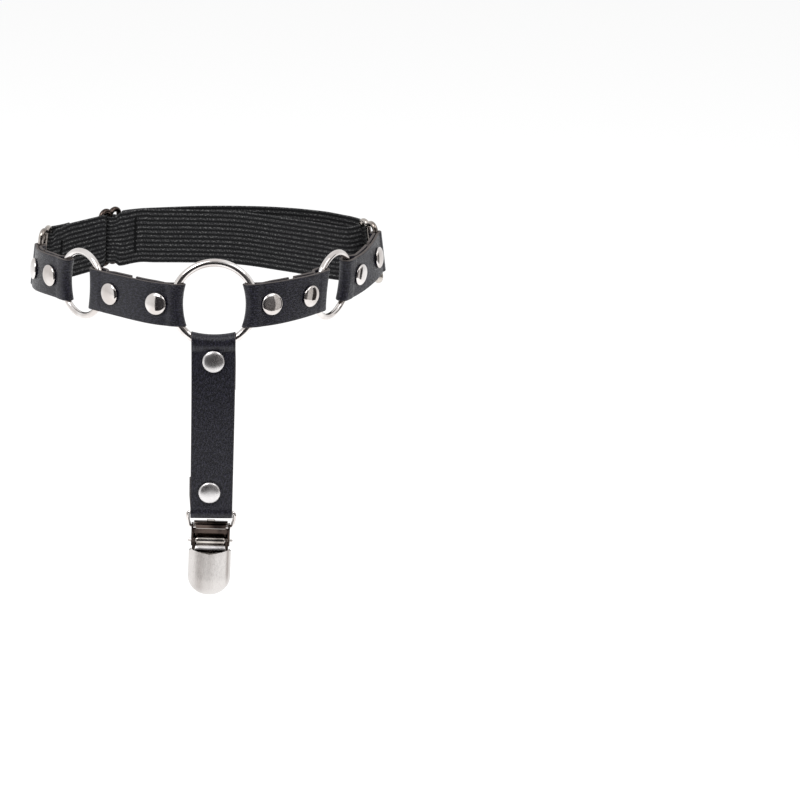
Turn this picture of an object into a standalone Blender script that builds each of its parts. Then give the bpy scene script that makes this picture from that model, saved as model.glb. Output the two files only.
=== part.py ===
"""Sock garter: one garter of a pair, standing open as the leg holds it, with its clip hanging.

The numbers below are millimetres and degrees. solid() makes them metres.
+X is right and -Y is the front, seen by the viewer, and +Z is up. The origin is the centre of the leg opening.
A heading is an angle in plan, measured from +X towards +Y.
"""
import math
from collections import namedtuple

import bmesh
import bpy
import numpy as np

MM = 0.001

# Leather and elastic
LEATHER = 1.4
LAYER_GAP = 0.2  # between the two layers of a folded strap
CLEAR = 0.15  # between a fold and the wire in it
FOLD_SLOPE = 44.0  # degrees, where a fold's two layers part round the wire
ELASTIC = 1.2
ELASTIC_WIDTH = 26.8
ELASTIC_NARROW = 22.8  # where it runs through a slide
ELASTIC_CLEAR = 0.25

# Rings of round wire
CENTRE_RING_RADIUS, CENTRE_WIRE = 18.4, 1.85
SIDE_RING_RADIUS, SIDE_WIRE = 15.0, 1.5

# Slides: three upright bars under two rounded arches
BAR_PITCH = 6.0
SLIDE_WIRE = 1.3
SLIDE_HEIGHT = 31.0

# Rivets
CAP_RADIUS, CAP_HEIGHT = 5.05, 1.8
BACK_CAP_RADIUS, BACK_CAP_HEIGHT = 2.8, 0.9
SHANK_RADIUS = 1.35
HOLE_RADIUS = 1.7
CAP_LIFT = 0.25

# Drop strap
DROP_LEAN = 0.7  # degrees, foot to the left
DROP_ASIDE = -0.4  # how far to the right of the ring's middle it starts
DROP_LENGTH = 79.8  # from the centre ring's wire to the clip loop's bar
DROP_WIDTHS = (19.9, 19.2)  # at the ring and at the clip

# Clip, measured across, forwards and upwards from the loop's bar
CLIP_LEAN = 1.9  # degrees, foot to the left
LOOP_WIRE = 0.9
LOOP_DROP = 7.0  # from the loop's bar down to its ends in the ears
PIN_DROP = 13.6
PIN_FORWARD = 0.3
PIN_RADIUS = 0.9
PIN_CLEAR = 0.25
SHEET = 0.8
EAR_INSIDE = 8.0
BACK_OF_FRAME = -2.4
ARM_INSIDE = 7.0
BARREL_RADIUS = 1.8
JAW_HALF_WIDTH = 9.8
JAW_TOP, JAW_FOOT = -17.0, -41.0
JAW_BEND = 9.2  # height of its round foot
JAW_CROWN, JAW_RIM = 3.6, -1.1  # how far forward its middle and its rim lie
JAW_NOTCH = 2.4

Place = namedtuple("Place", "x y z heading lean_x lean_y")
# lean is how far the piece's upright axis moves along X and Y for each millimetre up
HARDWARE = {
    #                    x      y      z    heading lean_x lean_y
    "centre_ring": Place(0.0, -60.0, 0.0, 0.0, 0.00, 0.14),
    "left_side_ring": Place(-60.6, -24.8, -0.5, 129.0, 0.04, 0.00),
    "right_side_ring": Place(54.6, -26.2, -0.4, 57.5, 0.08, 0.00),
    "left_slide": Place(-81.4, 24.0, -1.6, 74.0, 0.12, 0.00),
    "right_slide": Place(75.2, 24.6, 2.5, 121.0, -0.13, 0.00),
    "adjuster": Place(-50.9, 52.0, 0.9, 46.0, 0.04, 0.00),
}

# A fold round a wire: radius of the wire, reach of the fold past the wire's centre, how much further its
# corners reach, share of the bulge that shows outside, and distance from the fold's tip to the nearest rivet
Fold = namedtuple("Fold", "wire reach hollow share rivet")
FOLDS = {
    "centre_left": Fold(CENTRE_WIRE, 4.5, 2.3, 0.75, 11.9),
    "centre_right": Fold(CENTRE_WIRE, 4.5, 2.6, 0.75, 11.6),
    "centre_bottom": Fold(CENTRE_WIRE, 4.5, 2.3, 0.75, 12.1),
    "side_left": Fold(SIDE_WIRE, 6.4, 1.2, 0.30, 14.1),
    "side_right": Fold(SIDE_WIRE, 6.4, 1.2, 0.30, 13.8),
    "side_close": Fold(SIDE_WIRE, 5.2, 2.6, 0.30, 11.9),
    "side_back": Fold(SIDE_WIRE, 6.4, 1.2, 0.30, 13.0),
    "slide_left": Fold(SLIDE_WIRE, 3.1, 0.0, 0.60, 13.0),
    "slide_right": Fold(SLIDE_WIRE, 3.1, 0.0, 0.60, 12.4),
    "clip": Fold(LOOP_WIRE, 3.2, 0.0, 0.35, 13.3),
}

# A strap runs from one piece of hardware to the next, from the wire at `leave` to the wire at `arrive`
# (millimetres along each piece's own heading). Rise is the strap's height above that piece, and turn is added
# to the piece's heading. Lift is how far its middle stands above the straight way.
Strap = namedtuple("Strap", "start leave rise turn fold end arrive end_rise end_turn end_fold width lift")
STRAPS = {
    "left_front_strap": Strap("centre_ring", -CENTRE_RING_RADIUS, -0.5, 170.0, "centre_left",
                              "left_side_ring", -SIDE_RING_RADIUS, 0.1, 10.0, "side_left", 19.2, 0.3),
    "right_front_strap": Strap("centre_ring", CENTRE_RING_RADIUS, -0.6, 17.0, "centre_right",
                               "right_side_ring", -SIDE_RING_RADIUS, 0.3, -6.0, "side_right", 19.6, 0.2),
    "left_back_strap": Strap("left_side_ring", SIDE_RING_RADIUS, -0.4, 0.0, "side_close",
                             "left_slide", -BAR_PITCH, -1.5, 14.0, "slide_left", 19.6, 0.0),
    "right_back_strap": Strap("right_side_ring", SIDE_RING_RADIUS, 0.2, 0.0, "side_back",
                              "right_slide", -BAR_PITCH, 1.0, -41.0, "slide_right", 19.6, 0.0),
}

LEATHER_BLACK = ((0.022, 0.022, 0.026), 0.45, 0.0)
ELASTIC_BLACK = ((0.018, 0.018, 0.020), 0.85, 0.0)
NICKEL = ((0.80, 0.78, 0.76), 0.12, 1.0)
SATIN_NICKEL = ((0.74, 0.72, 0.71), 0.35, 1.0)


def material(name, look):
    colour, roughness, metallic = look
    made = bpy.data.materials.new(name)
    made.use_nodes = True
    shader = made.node_tree.nodes["Principled BSDF"]
    shader.inputs["Base Color"].default_value = (*colour, 1.0)
    shader.inputs["Roughness"].default_value = roughness
    shader.inputs["Metallic"].default_value = metallic
    return made


def solid(name, points, faces, look, origin=(0.0, 0.0, 0.0), smooth=40.0):
    """An object from points in millimetres, with its origin at `origin`."""
    mesh = bpy.data.meshes.new(name)
    origin = np.asarray(origin, float) * MM
    mesh.from_pydata((np.asarray(points) * MM - origin).tolist(), [], [list(map(int, face)) for face in faces])
    mesh.validate()
    work = bmesh.new()
    work.from_mesh(mesh)
    bmesh.ops.recalc_face_normals(work, faces=work.faces)
    work.to_mesh(mesh)
    work.free()
    mesh.shade_smooth()
    mesh.set_sharp_from_angle(angle=math.radians(smooth))
    made = bpy.data.objects.new(name, mesh)
    made.location = origin
    made.data.materials.append(material(name, look))
    bpy.context.scene.collection.objects.link(made)
    return made


def cut(target, cutter, operation="DIFFERENCE"):
    """Joins or cuts with a helper that stays out of the render."""
    cutter.hide_render = True
    cutter.display_type = "WIRE"
    change = target.modifiers.new(cutter.name, "BOOLEAN")
    change.operation = operation
    change.object = cutter


def unit(vectors):
    vectors = np.asarray(vectors, float)
    return vectors / np.linalg.norm(vectors, axis=-1, keepdims=True)


def compass(heading):
    angle = math.radians(heading)
    return np.array([math.cos(angle), math.sin(angle), 0.0])


def smoothstep(value):
    value = np.clip(value, 0.0, 1.0)
    return value * value * (3.0 - 2.0 * value)


def axes_of(place):
    """Centre, heading direction and upright direction of a piece of hardware."""
    centre = np.array([place.x, place.y, place.z])
    along = compass(place.heading)
    up = unit([place.lean_x, place.lean_y, 1.0])
    return centre, along, up


def grid_faces(rows, columns, close_rows=False, close_columns=False):
    """Quads of a grid whose points are numbered row by row."""
    faces = []
    for row in range(rows if close_rows else rows - 1):
        for column in range(columns if close_columns else columns - 1):
            next_row = (row + 1) % rows
            next_column = (column + 1) % columns
            faces.append((row * columns + column, row * columns + next_column,
                          next_row * columns + next_column, next_row * columns + column))
    return faces


def slab(top, bottom):
    """Points and faces of the closed body between two grids of points of the same shape (rows, columns, 3)."""
    rows, columns = top.shape[:2]
    points = np.concatenate([top.reshape(-1, 3), bottom.reshape(-1, 3)])
    half = rows * columns
    upper = grid_faces(rows, columns)
    faces = upper + [tuple(index + half for index in face[::-1]) for face in upper]
    border = [(row, 0) for row in range(rows)]
    border += [(rows - 1, column) for column in range(1, columns)]
    border += [(row, columns - 1) for row in range(rows - 2, -1, -1)]
    border += [(0, column) for column in range(columns - 2, 0, -1)]
    rim = [row * columns + column for row, column in border]
    for here, there in zip(rim, rim[1:] + rim[:1]):
        faces.append((here, there, there + half, here + half))
    return points, faces


def tube(path, radius, sides, closed=False, side_hint=(0.0, 0.0, 1.0)):
    """Points and faces of a round wire along a path."""
    path = np.asarray(path, float)
    if closed:
        ahead = np.roll(path, -1, axis=0) - path
        tangent = unit(unit(ahead) + unit(np.roll(ahead, 1, axis=0)))
    else:
        ahead = unit(np.diff(path, axis=0))
        tangent = unit(np.concatenate([ahead[:1], ahead[1:] + ahead[:-1], ahead[-1:]]))
    side = unit(np.cross(tangent, np.asarray(side_hint, float)))
    other = np.cross(side, tangent)
    turn = 2 * np.pi * np.arange(sides) / sides
    ring = np.cos(turn)[None, :, None] * side[:, None, :] + np.sin(turn)[None, :, None] * other[:, None, :]
    points = (path[:, None, :] + radius * ring).reshape(-1, 3)
    faces = grid_faces(len(path), sides, close_rows=closed, close_columns=True)
    if not closed:
        faces.append(tuple(range(sides)))
        faces.append(tuple(range((len(path) - 1) * sides, len(path) * sides))[::-1])
    return points, faces


class Route:
    """A path that a strap follows: a position, an outward side and an upright side at each length s."""

    def __init__(self, points, up_first, up_last):
        self.points = np.asarray(points, float)
        steps = np.linalg.norm(np.diff(self.points, axis=0), axis=1)
        self.s = np.concatenate([[0.0], np.cumsum(steps)])
        self.length = self.s[-1]
        self.tangent = unit(np.gradient(self.points, self.s, axis=0))
        share = smoothstep(self.s / self.length)[:, None]
        self.up = unit((1 - share) * up_first + share * up_last)
        self.out = away_from_leg(np.cross(self.tangent, self.up), self.points.mean(axis=0))

    def at(self, s, t, w):
        """Points at length s, t outwards and w up."""
        s, t, w = np.broadcast_arrays(*(np.asarray(value, float) for value in (s, t, w)))
        inside = np.clip(s, 0.0, self.length)

        def read(values):
            return np.stack([np.interp(inside, self.s, values[:, axis]) for axis in range(3)], axis=-1)

        beyond = (s - inside)[..., None]
        place = read(self.points) + beyond * read(self.tangent)
        return place + t[..., None] * read(self.out) + w[..., None] * read(self.up)


def away_from_leg(sides, place):
    sides = unit(sides)
    middle = sides[0] if sides.ndim > 1 else sides
    return sides if np.dot(middle, place) > 0 else -sides


def bezier(first, first_way, last, last_way, count=60, pull=0.36):
    reach = pull * np.linalg.norm(np.subtract(last, first))
    handles = (first, first + reach * first_way, last - reach * last_way, last)
    u = np.linspace(0.0, 1.0, count)[:, None]
    weights = ((1 - u) ** 3, 3 * u * (1 - u) ** 2, 3 * u * u * (1 - u), u ** 3)
    return sum(weight * handle for weight, handle in zip(weights, handles))


def half_gap():
    return (LEATHER + LAYER_GAP) / 2


def fold_radius(fold):
    return fold.wire + CLEAR + LEATHER / 2


def fold_inset(fold):
    """How far the wire's centre lies outwards of the strap's middle. It is negative, so inwards."""
    return (fold.share - 1.0) * (fold_radius(fold) - half_gap())


def parting(rise, radius):
    """Points from the flat layer up to the top of the bulge, which lies at x = 0: an incline, then an arc."""
    slope = min(math.radians(FOLD_SLOPE), math.acos(1 - 0.5 * rise / radius))
    rest = rise - radius * (1 - math.cos(slope))
    foot = -radius * math.sin(slope) - rest / math.tan(slope)
    points = [(foot, 0.0)]
    if rest > 1.0:
        points = [(foot - 0.45, 0.0), (foot + 0.45 * math.cos(slope), 0.45 * math.sin(slope))]
    points.append((-radius * math.sin(slope), rest))
    points.append((-radius * math.sin(slope / 2), rise - radius * (1 - math.cos(slope / 2))))
    points.append((0.0, rise))
    return np.array(points)


def fold_end(fold, arc_steps=6):
    """The middle line of a fold round a wire at 0: x runs to the tip, y outwards, from outer to inner layer."""
    flat = half_gap()
    radius = fold_radius(fold)
    inset = fold_inset(fold)
    outer = parting(radius + inset - flat, radius)
    inner = parting(radius - inset - flat, radius)[::-1]
    turn = np.linspace(np.pi / 2, -np.pi / 2, arc_steps + 1)
    arc = np.c_[fold.reach - LEATHER / 2 - radius + radius * np.cos(turn), inset + radius * np.sin(turn)]
    return np.concatenate([outer + (0.0, flat), arc, inner * (1.0, -1.0) - (0.0, flat)])


def offset_line(line, distance):
    ahead = unit(np.diff(line, axis=0))
    mean = unit(np.concatenate([ahead[:1], ahead[1:] + ahead[:-1], ahead[-1:]]))
    before = np.concatenate([ahead[:1], ahead])
    stretch = 1.0 / np.clip((mean * before).sum(axis=1), 0.5, 1.0)
    normal = np.c_[-mean[:, 1], mean[:, 0]] * stretch[:, None]
    return line + distance * normal


# How far the corners of a fold stand out to follow a ring's wire, and how far the fold lies from the ring's
# middle, as a share of half the strap's width
Bow = namedtuple("Bow", "out aside")


def cupped(s, length, across, cups):
    """How far a strap's corners stand out, near its first and its last fold."""
    return (cups[0].out * smoothstep((3.0 - s) / 4.0) * (across + cups[0].aside) ** 2
            + cups[1].out * smoothstep((s - length + 3.0) / 4.0) * (across + cups[1].aside) ** 2)


def bowed(s, length, across, first, last, cups):
    """How far along the strap its corners lie, near its first and its last fold."""
    near_first = smoothstep((3.0 - s) / (3.0 + first.reach - LEATHER / 2 - fold_radius(first)))
    near_last = smoothstep((s - length + 3.0) / (3.0 + last.reach - LEATHER / 2 - fold_radius(last)))
    return (near_last * last.hollow * (across + cups[1].aside) ** 2
            - near_first * first.hollow * (across + cups[0].aside) ** 2)


def folded_strap(route, first, last, widths, ends=None, cups=(Bow(0.0, 0.0), Bow(0.0, 0.0)),
                 columns=4, middle=6):
    """A strip folded back inside at both ends. The ends meet halfway, or lie at the two lengths given."""
    start = fold_end(first)[::-1] * (-1.0, 1.0)
    finish = fold_end(last) + (route.length, 0.0)
    outer_s = np.linspace(start[-1, 0], finish[0, 0], middle + 2)[1:-1]
    outer = np.c_[outer_s, np.full(len(outer_s), half_gap())]
    ends = ends or (route.length / 2 - 1.6, route.length / 2 + 1.6)
    inner_steps = max(3, middle // 2)
    tail_first = np.linspace(ends[0], start[0, 0], inner_steps + 1)[:-1]
    tail_last = np.linspace(finish[-1, 0], ends[1], inner_steps + 1)[1:]
    line = np.concatenate([np.c_[tail_first, np.full(inner_steps, -half_gap())], start, outer, finish,
                           np.c_[tail_last, np.full(inner_steps, -half_gap())]])
    across = np.linspace(-1.0, 1.0, columns)
    cup = cupped(line[:, :1], route.length, across, cups)
    bow = bowed(line[:, :1], route.length, across, first, last, cups)
    grids = []
    for side in (0.5, -0.5):
        edge = offset_line(line, side * LEATHER)
        s = edge[:, :1] + bow
        half_width = np.interp(s, (0.0, route.length), widths) / 2
        grids.append(route.at(s, edge[:, 1:] + cup, half_width * across))
    return slab(*grids)


def turned(profile, centre, axis, steps):
    """Points and faces of a profile (radius, height) turned about an axis; both ends lie on the axis."""
    axis = unit(axis)
    side = unit(np.cross(axis, (0.31, 0.17, 0.93)))
    other = np.cross(axis, side)
    angle = 2 * np.pi * np.arange(steps) / steps
    around = np.cos(angle)[:, None] * side + np.sin(angle)[:, None] * other
    body = profile[1:-1]
    points = [centre + profile[0][1] * axis]
    for radius, height in body:
        points.extend(centre + height * axis + radius * around)
    points.append(centre + profile[-1][1] * axis)
    faces = [tuple(index + 1 for index in face) for face in grid_faces(len(body), steps, close_columns=True)]
    last = len(points) - 1
    for step in range(steps):
        after = (step + 1) % steps
        faces.append((0, 1 + after, 1 + step))
        faces.append((last, last - steps + step, last - steps + after))
    return np.array(points), faces


def rivet(name, centre, axis, steps=11):
    """A domed cap outside and a small flat one inside, joined by a shank."""
    seat = LEATHER + LAYER_GAP / 2 + CAP_LIFT
    dome = [(CAP_RADIUS * math.cos(a), seat + 0.35 + (CAP_HEIGHT - 0.35) * math.sin(a))
            for a in np.radians((90, 58, 28))]
    dome[0] = (0.0, seat + CAP_HEIGHT)
    shank = [(CAP_RADIUS, seat + 0.3), (CAP_RADIUS - 0.35, seat), (SHANK_RADIUS, seat), (SHANK_RADIUS, -seat)]
    back = [(BACK_CAP_RADIUS - 0.2, -seat), (BACK_CAP_RADIUS, -seat - 0.35),
            (BACK_CAP_RADIUS * 0.6, -seat - BACK_CAP_HEIGHT), (0.0, -seat - BACK_CAP_HEIGHT)]
    points, faces = turned(dome + shank + back, centre, axis, steps)
    solid(name, points, faces, NICKEL)


def rivet_hole(name, strap, centre, axis, steps=10):
    depth = 3 * LEATHER
    profile = [(0.0, depth), (HOLE_RADIUS, depth), (HOLE_RADIUS, -depth), (0.0, -depth)]
    points, faces = turned(profile, centre, axis, steps)
    cut(strap, solid(name, points, faces, NICKEL))


def rivets_on(strap, route, spots):
    """Spots are (name, length along the route, height up its side)."""
    for name, length, aside in spots:
        centre = route.at(length, 0.0, aside)
        axis = route.at(length, 1.0, aside) - centre
        rivet(name, centre, axis)
        rivet_hole(name + "_hole", strap, centre, axis)


def ring(name, radius, wire, steps, sides):
    centre, along, up = axes_of(HARDWARE[name])
    angle = 2 * np.pi * np.arange(steps) / steps
    path = centre + radius * (np.cos(angle)[:, None] * along + np.sin(angle)[:, None] * up)
    points, faces = tube(path, wire, sides, closed=True, side_hint=np.cross(along, up))
    solid(name, points, faces, NICKEL, origin=centre)


def slide(name, steps=4, sides=8):
    """Two arches at the top and two at the bottom, over three upright bars."""
    centre, along, up = axes_of(HARDWARE[name])
    half = BAR_PITCH / 2
    spring = SLIDE_HEIGHT / 2 - SLIDE_WIRE - half
    arch = np.radians(np.linspace(0.0, 140.0, steps + 1))
    right = np.c_[half + half * np.cos(arch), spring + half * np.sin(arch)]
    top = np.concatenate([right, right[::-1] * (-1.0, 1.0)])
    outline = np.concatenate([top, top[::-1] * (1.0, -1.0)])
    path = centre + outline[:, :1] * along + outline[:, 1:] * up
    points, faces = tube(path, SLIDE_WIRE, sides, closed=True, side_hint=np.cross(along, up))
    frame = solid(name, points, faces, NICKEL, origin=centre)
    bar = np.array([[-spring - 1.6], [spring + 1.6]]) * up + centre
    points, faces = tube(bar, SLIDE_WIRE * 0.97, sides, side_hint=np.cross(along, up))
    cut(frame, solid(name + "_bar", points, faces, NICKEL), "UNION")


def strap_route(strap):
    """The strap's middle line, and how far the corners of its two folds stand out to follow the rings' wire."""
    ends = []
    cups = []
    for name, reach, rise, turn, fold in (strap[:5], strap[5:10]):
        centre, along, up = axes_of(HARDWARE[name])
        way = compass(HARDWARE[name].heading + turn)
        wire = centre + reach * along + rise * up
        out = away_from_leg(np.cross(way, up), wire)
        ends.append((wire - fold_inset(FOLDS[fold]) * out, way, up))
        curve = abs(reach) - math.sqrt(reach ** 2 - strap.width ** 2 / 4) if "ring" in name else 0.0
        cups.append(Bow(-curve * math.copysign(1.0, reach) * np.dot(along, out), 2 * rise / strap.width))
    (begin, way, up), (finish, last_way, last_up) = ends
    line = bezier(begin, way, finish, last_way)
    line[:, 2] += strap.lift * np.sin(np.linspace(0.0, np.pi, len(line))) ** 2
    return Route(line, up, last_up), cups


def side_straps():
    for name, strap in STRAPS.items():
        route, cups = strap_route(strap)
        first, last = FOLDS[strap.fold], FOLDS[strap.end_fold]
        points, faces = folded_strap(route, first, last, (strap.width, strap.width), cups=cups)
        made = solid(name, points, faces, LEATHER_BLACK)
        stem = name.replace("strap", "rivet")
        rivets_on(made, route, ((stem + "_a", first.rivet - first.reach, 0.0),
                                (stem + "_b", route.length - last.rivet + last.reach, 0.0)))


def drop_route():
    lean = math.radians(DROP_LEAN)
    across = np.array([math.cos(lean), 0.0, -math.sin(lean)])
    down = np.array([-math.sin(lean), 0.0, -math.cos(lean)])
    centre, along, up = axes_of(HARDWARE["centre_ring"])
    front = away_from_leg(np.cross(along, up), centre)
    begin = centre + DROP_ASIDE * along - CENTRE_RING_RADIUS * up - fold_inset(FOLDS["centre_bottom"]) * front
    finish = begin + DROP_LENGTH * down + (0.0, -1.6, 0.0)
    return Route(bezier(begin, -up, finish, down), along, across)


def drop_strap():
    route = drop_route()
    first, last = FOLDS["centre_bottom"], FOLDS["clip"]
    points, faces = folded_strap(route, first, last, DROP_WIDTHS, ends=(21.0, route.length - 16.6),
                                 cups=(Bow(0.0, 2 * DROP_ASIDE / DROP_WIDTHS[0]), Bow(0.0, 0.0)))
    made = solid("drop_strap", points, faces, LEATHER_BLACK)
    rivets_on(made, route, (("drop_rivet_upper", first.rivet - first.reach, 0.0),
                            ("drop_rivet_lower", route.length - last.rivet + last.reach, -1.0)))


# The elastic

def path_round(name, bar, radius, first, last, steps):
    """Arc round a bar of a slide. Angles are measured from the slide's heading towards the leg."""
    centre, along, up = axes_of(HARDWARE[name])
    inward = -away_from_leg(np.cross(along, up), centre)
    angle = np.radians(np.linspace(first, last, steps + 1))[:, None]
    return centre + (bar + radius * np.cos(angle)) * along + radius * np.sin(angle) * inward


def through(points, first_way, last_way, count):
    """A smooth path through points, with its directions at the two ends given."""
    points = np.asarray(points, float)
    ways = [unit(first_way)]
    for before, after in zip(points[:-2], points[2:]):
        ways.append(unit(after - before))
    ways.append(unit(last_way))
    pieces = []
    for index in range(len(points) - 1):
        piece = bezier(points[index], ways[index], points[index + 1], ways[index + 1], count=count + 1)
        pieces.append(piece[1:] if index else piece)
    return np.concatenate(pieces)


def ends_way(path):
    """Directions in which a path leaves its last point and comes to its first."""
    return unit(path[1] - path[0]), unit(path[-1] - path[-2])


INNER_LAYER = [(-36.2, 55.6, 1.5), (-29.9, 57.6, 0.9), (-6.9, 60.5, 0.0), (12.6, 56.8, 0.1), (32.2, 43.5, 0.8),
               (50.0, 28.6, 1.8), (58.6, 21.2, 2.2), (64.6, 18.4, 2.4), (69.8, 21.6, 2.5)]
FLAP_END = (-36.9, 57.9, 0.8)
OUTER_LAYER = [(61.9, 44.4, 2.0), (52.3, 53.0, 1.6), (32.7, 62.6, 1.0), (12.8, 67.4, 0.4), (-6.9, 67.9, 0.1),
               (-29.9, 62.8, 0.4), (-37.0, 60.2, 0.6)]
SINGLE_LAYER = [(-60.8, 45.2, -0.9), (-69.8, 38.0, -1.6)]


def elastic_path():
    """The whole strip from its sewn end at the adjuster to its sewn end at the left slide."""
    layer = ELASTIC + ELASTIC_CLEAR
    near = SLIDE_WIRE + ELASTIC_CLEAR + ELASTIC / 2
    internal = math.degrees(math.acos((2 * near + layer) / BAR_PITCH))
    external = math.degrees(math.acos(2 * layer / BAR_PITCH))
    side = 180.0 - internal
    flap = path_round("adjuster", BAR_PITCH, near + layer, 90.0, side, 4)
    flap_round = path_round("adjuster", 0.0, near, side - 180.0, -180.0 - external, 8)
    over = path_round("adjuster", BAR_PITCH, near + 2 * layer, 180.0 - external, 90.0, 3)
    centre, along, up = axes_of(HARDWARE["adjuster"])
    flap_start = through([FLAP_END, flap[0]], flap[0] - np.array(FLAP_END), flap[1] - flap[0], 4)[:-1]
    link = path_round("right_slide", BAR_PITCH, near, 217.0, 277.0, 4)
    back_in = path_round("adjuster", BAR_PITCH, near, 90.0, side, 3)
    back_round = path_round("adjuster", 0.0, near + layer, side - 180.0, -side, 6)
    back_out = path_round("adjuster", -BAR_PITCH, near, 180.0 - side, 90.0, 3)
    last = path_round("left_slide", BAR_PITCH, near, 126.0, 306.0, 8)
    inner = through([over[-1], *INNER_LAYER, link[0]], ends_way(over)[1], ends_way(link)[0], 3)
    outer = through([link[-1], *OUTER_LAYER, back_in[0]], ends_way(link)[1], ends_way(back_in)[0], 4)
    single = through([back_out[-1], *SINGLE_LAYER, last[0]], ends_way(back_out)[1], ends_way(last)[0], 3)
    # The sewn end lies beside the single layer, on its outer side
    beside = away_from_leg(np.cross(single[-3] - single[-4], (0.0, 0.0, 1.0)), single[-4])
    tail_end = single[-4] + (layer + 0.1) * beside
    tail = through([last[-1], tail_end], ends_way(last)[1], single[-5] - single[-4], 6)
    pieces = [flap_start, flap, flap_round, over, inner[1:-1], link, outer[1:-1], back_in, back_round, back_out,
              single[1:-1], last, tail[1:]]
    return np.concatenate(pieces)


def elastic_band():
    path = elastic_path()
    share_sum = np.zeros((len(path), 1))
    ups = np.zeros((len(path), 3))
    narrow = np.zeros((len(path), 1))
    for name in ("left_slide", "adjuster", "right_slide"):
        centre, along, up = axes_of(HARDWARE[name])
        inward = -away_from_leg(np.cross(along, up), centre)
        apart = np.linalg.norm(path - centre, axis=1)[:, None]
        weight = smoothstep((22.0 - apart) / 14.0)
        ups += weight * up
        share_sum += weight
        offset = path - centre
        in_window = (np.abs(offset @ inward) < 2.6) & (np.abs(offset @ along) < BAR_PITCH - 0.8)
        narrow = np.maximum(narrow, in_window[:, None])
    ups = unit(ups + (1.0 - np.minimum(share_sum, 1.0)) * np.array((0.0, 0.0, 1.0)))
    ahead = unit(np.diff(path, axis=0))
    tangent = unit(np.concatenate([ahead[:1], ahead[1:] + ahead[:-1], ahead[-1:]]))
    before = np.concatenate([ahead[:1], ahead])
    stretch = 1.0 / np.clip((tangent * before).sum(axis=1, keepdims=True), 0.6, 1.0)
    normal = unit(np.cross(tangent, ups)) * stretch
    half_width = (ELASTIC_WIDTH + (ELASTIC_NARROW - ELASTIC_WIDTH) * narrow) / 2
    across = np.array((-1.0, 1.0))[None, :, None]
    grids = []
    for side in (0.5, -0.5):
        middle = path + side * ELASTIC * normal
        grids.append(middle[:, None, :] + across * half_width[:, None, :] * ups[:, None, :])
    points, faces = slab(*grids)
    solid("elastic_band", points, faces, ELASTIC_BLACK)


# The clip

def clip_axes():
    """Origin at the loop's bar, then the clip's across, front and up."""
    route = drop_route()
    lean = math.radians(CLIP_LEAN)
    across = np.array([math.cos(lean), 0.0, -math.sin(lean)])
    up = np.array([math.sin(lean), 0.0, math.cos(lean)])
    front = np.array([0.0, -1.0, 0.0])
    bar = route.at(route.length + 0.35, fold_inset(FOLDS["clip"]), 0.0)
    return bar, across, front, up


def clip_points(local):
    """World points of clip-local ones (across, front, up) from the loop's bar."""
    origin, across, front, up = clip_axes()
    local = np.asarray(local, float)
    return origin + local[..., :1] * across + local[..., 1:2] * front + local[..., 2:3] * up


def plate(name, outline, depth_axis, low, high, look=NICKEL, origin=(0, 0, 0)):
    """A flat outline pulled from low to high along one of the clip's axes."""
    layers = []
    for depth in (low, high):
        layer = np.insert(np.asarray(outline, float), depth_axis, depth, axis=1)
        layers.append(layer)
    points = clip_points(np.concatenate(layers))
    count = len(outline)
    faces = [tuple(range(count)), tuple(range(count, 2 * count))[::-1]]
    faces += [(i, (i + 1) % count, (i + 1) % count + count, i + count) for i in range(count)]
    return solid(name, points, faces, look, origin=clip_points(origin))


def bar_across(name, radius, half_length, forward, height, steps=16, look=NICKEL):
    angle = 2 * np.pi * (np.arange(steps) + 0.5) / steps
    outline = np.c_[forward + radius * np.cos(angle), height + radius * np.sin(angle)]
    return plate(name, outline, 0, -half_length, half_length, look, (0.0, forward, height))


def clip_loop():
    path = [(9.9, 0.0), (10.5, -0.4), (10.75, -1.2), (10.7, -2.4), (10.25, -4.6), (10.05, -5.8), (9.6, -6.7),
            (8.9, -7.0), (6.9, -7.0)]
    path = [(x, 0.0, z) for x, z in path]
    path = [(-x, y, z) for x, y, z in path[::-1]] + path
    points, faces = tube(clip_points(path), LOOP_WIRE, 8, side_hint=(0.0, 1.0, 0.0))
    solid("clip_loop", points, faces, NICKEL, origin=clip_points((0, 0, 0)))


def clip_frame():
    """A back plate with two ears, and a flap over the top that turns down in front."""
    back = BACK_OF_FRAME
    outline = [(-8.6, -5.6), (8.6, -5.6), (8.6, -17.0), (7.2, -20.0), (7.2, -31.5), (5.6, -36.0), (2.4, -38.2),
               (-2.4, -38.2), (-5.6, -36.0), (-7.2, -31.5), (-7.2, -20.0), (-8.6, -17.0)]
    frame = plate("clip_frame", outline, 1, back, back + SHEET, origin=(0.0, 0.0, -LOOP_DROP))
    ear = [(back, -5.6), (1.2, -5.6), (2.1, -6.8), (2.1, -14.6), (1.1, -16.2), (back, -17.0)]
    for side, label in ((1, "right"), (-1, "left")):
        low, high = sorted((side * EAR_INSIDE, side * (EAR_INSIDE + SHEET)))
        cut(frame, plate("ear_" + label, ear, 0, low, high), "UNION")
    flap = [(back, -5.9), (back, -5.1), (-0.6, -4.1), (1.5, -4.1), (2.5, -4.7), (2.0, -7.4), (1.3, -7.3),
            (1.6, -5.1), (1.2, -4.9), (-0.5, -4.9), (back + SHEET, -5.9)]
    cut(frame, plate("flap", flap, 0, -7.7, 7.7), "UNION")
    tab = [(-2.3, -4.7), (-1.9, -3.3), (1.9, -3.3), (2.3, -4.7)]
    cut(frame, plate("tab", tab, 1, 0.2, 1.0), "UNION")
    cut(frame, bar_across("loop_holes", LOOP_WIRE + PIN_CLEAR, 12.0, 0.0, -LOOP_DROP))
    cut(frame, bar_across("pin_holes", PIN_RADIUS + PIN_CLEAR, 12.0, PIN_FORWARD, -PIN_DROP))


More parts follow.
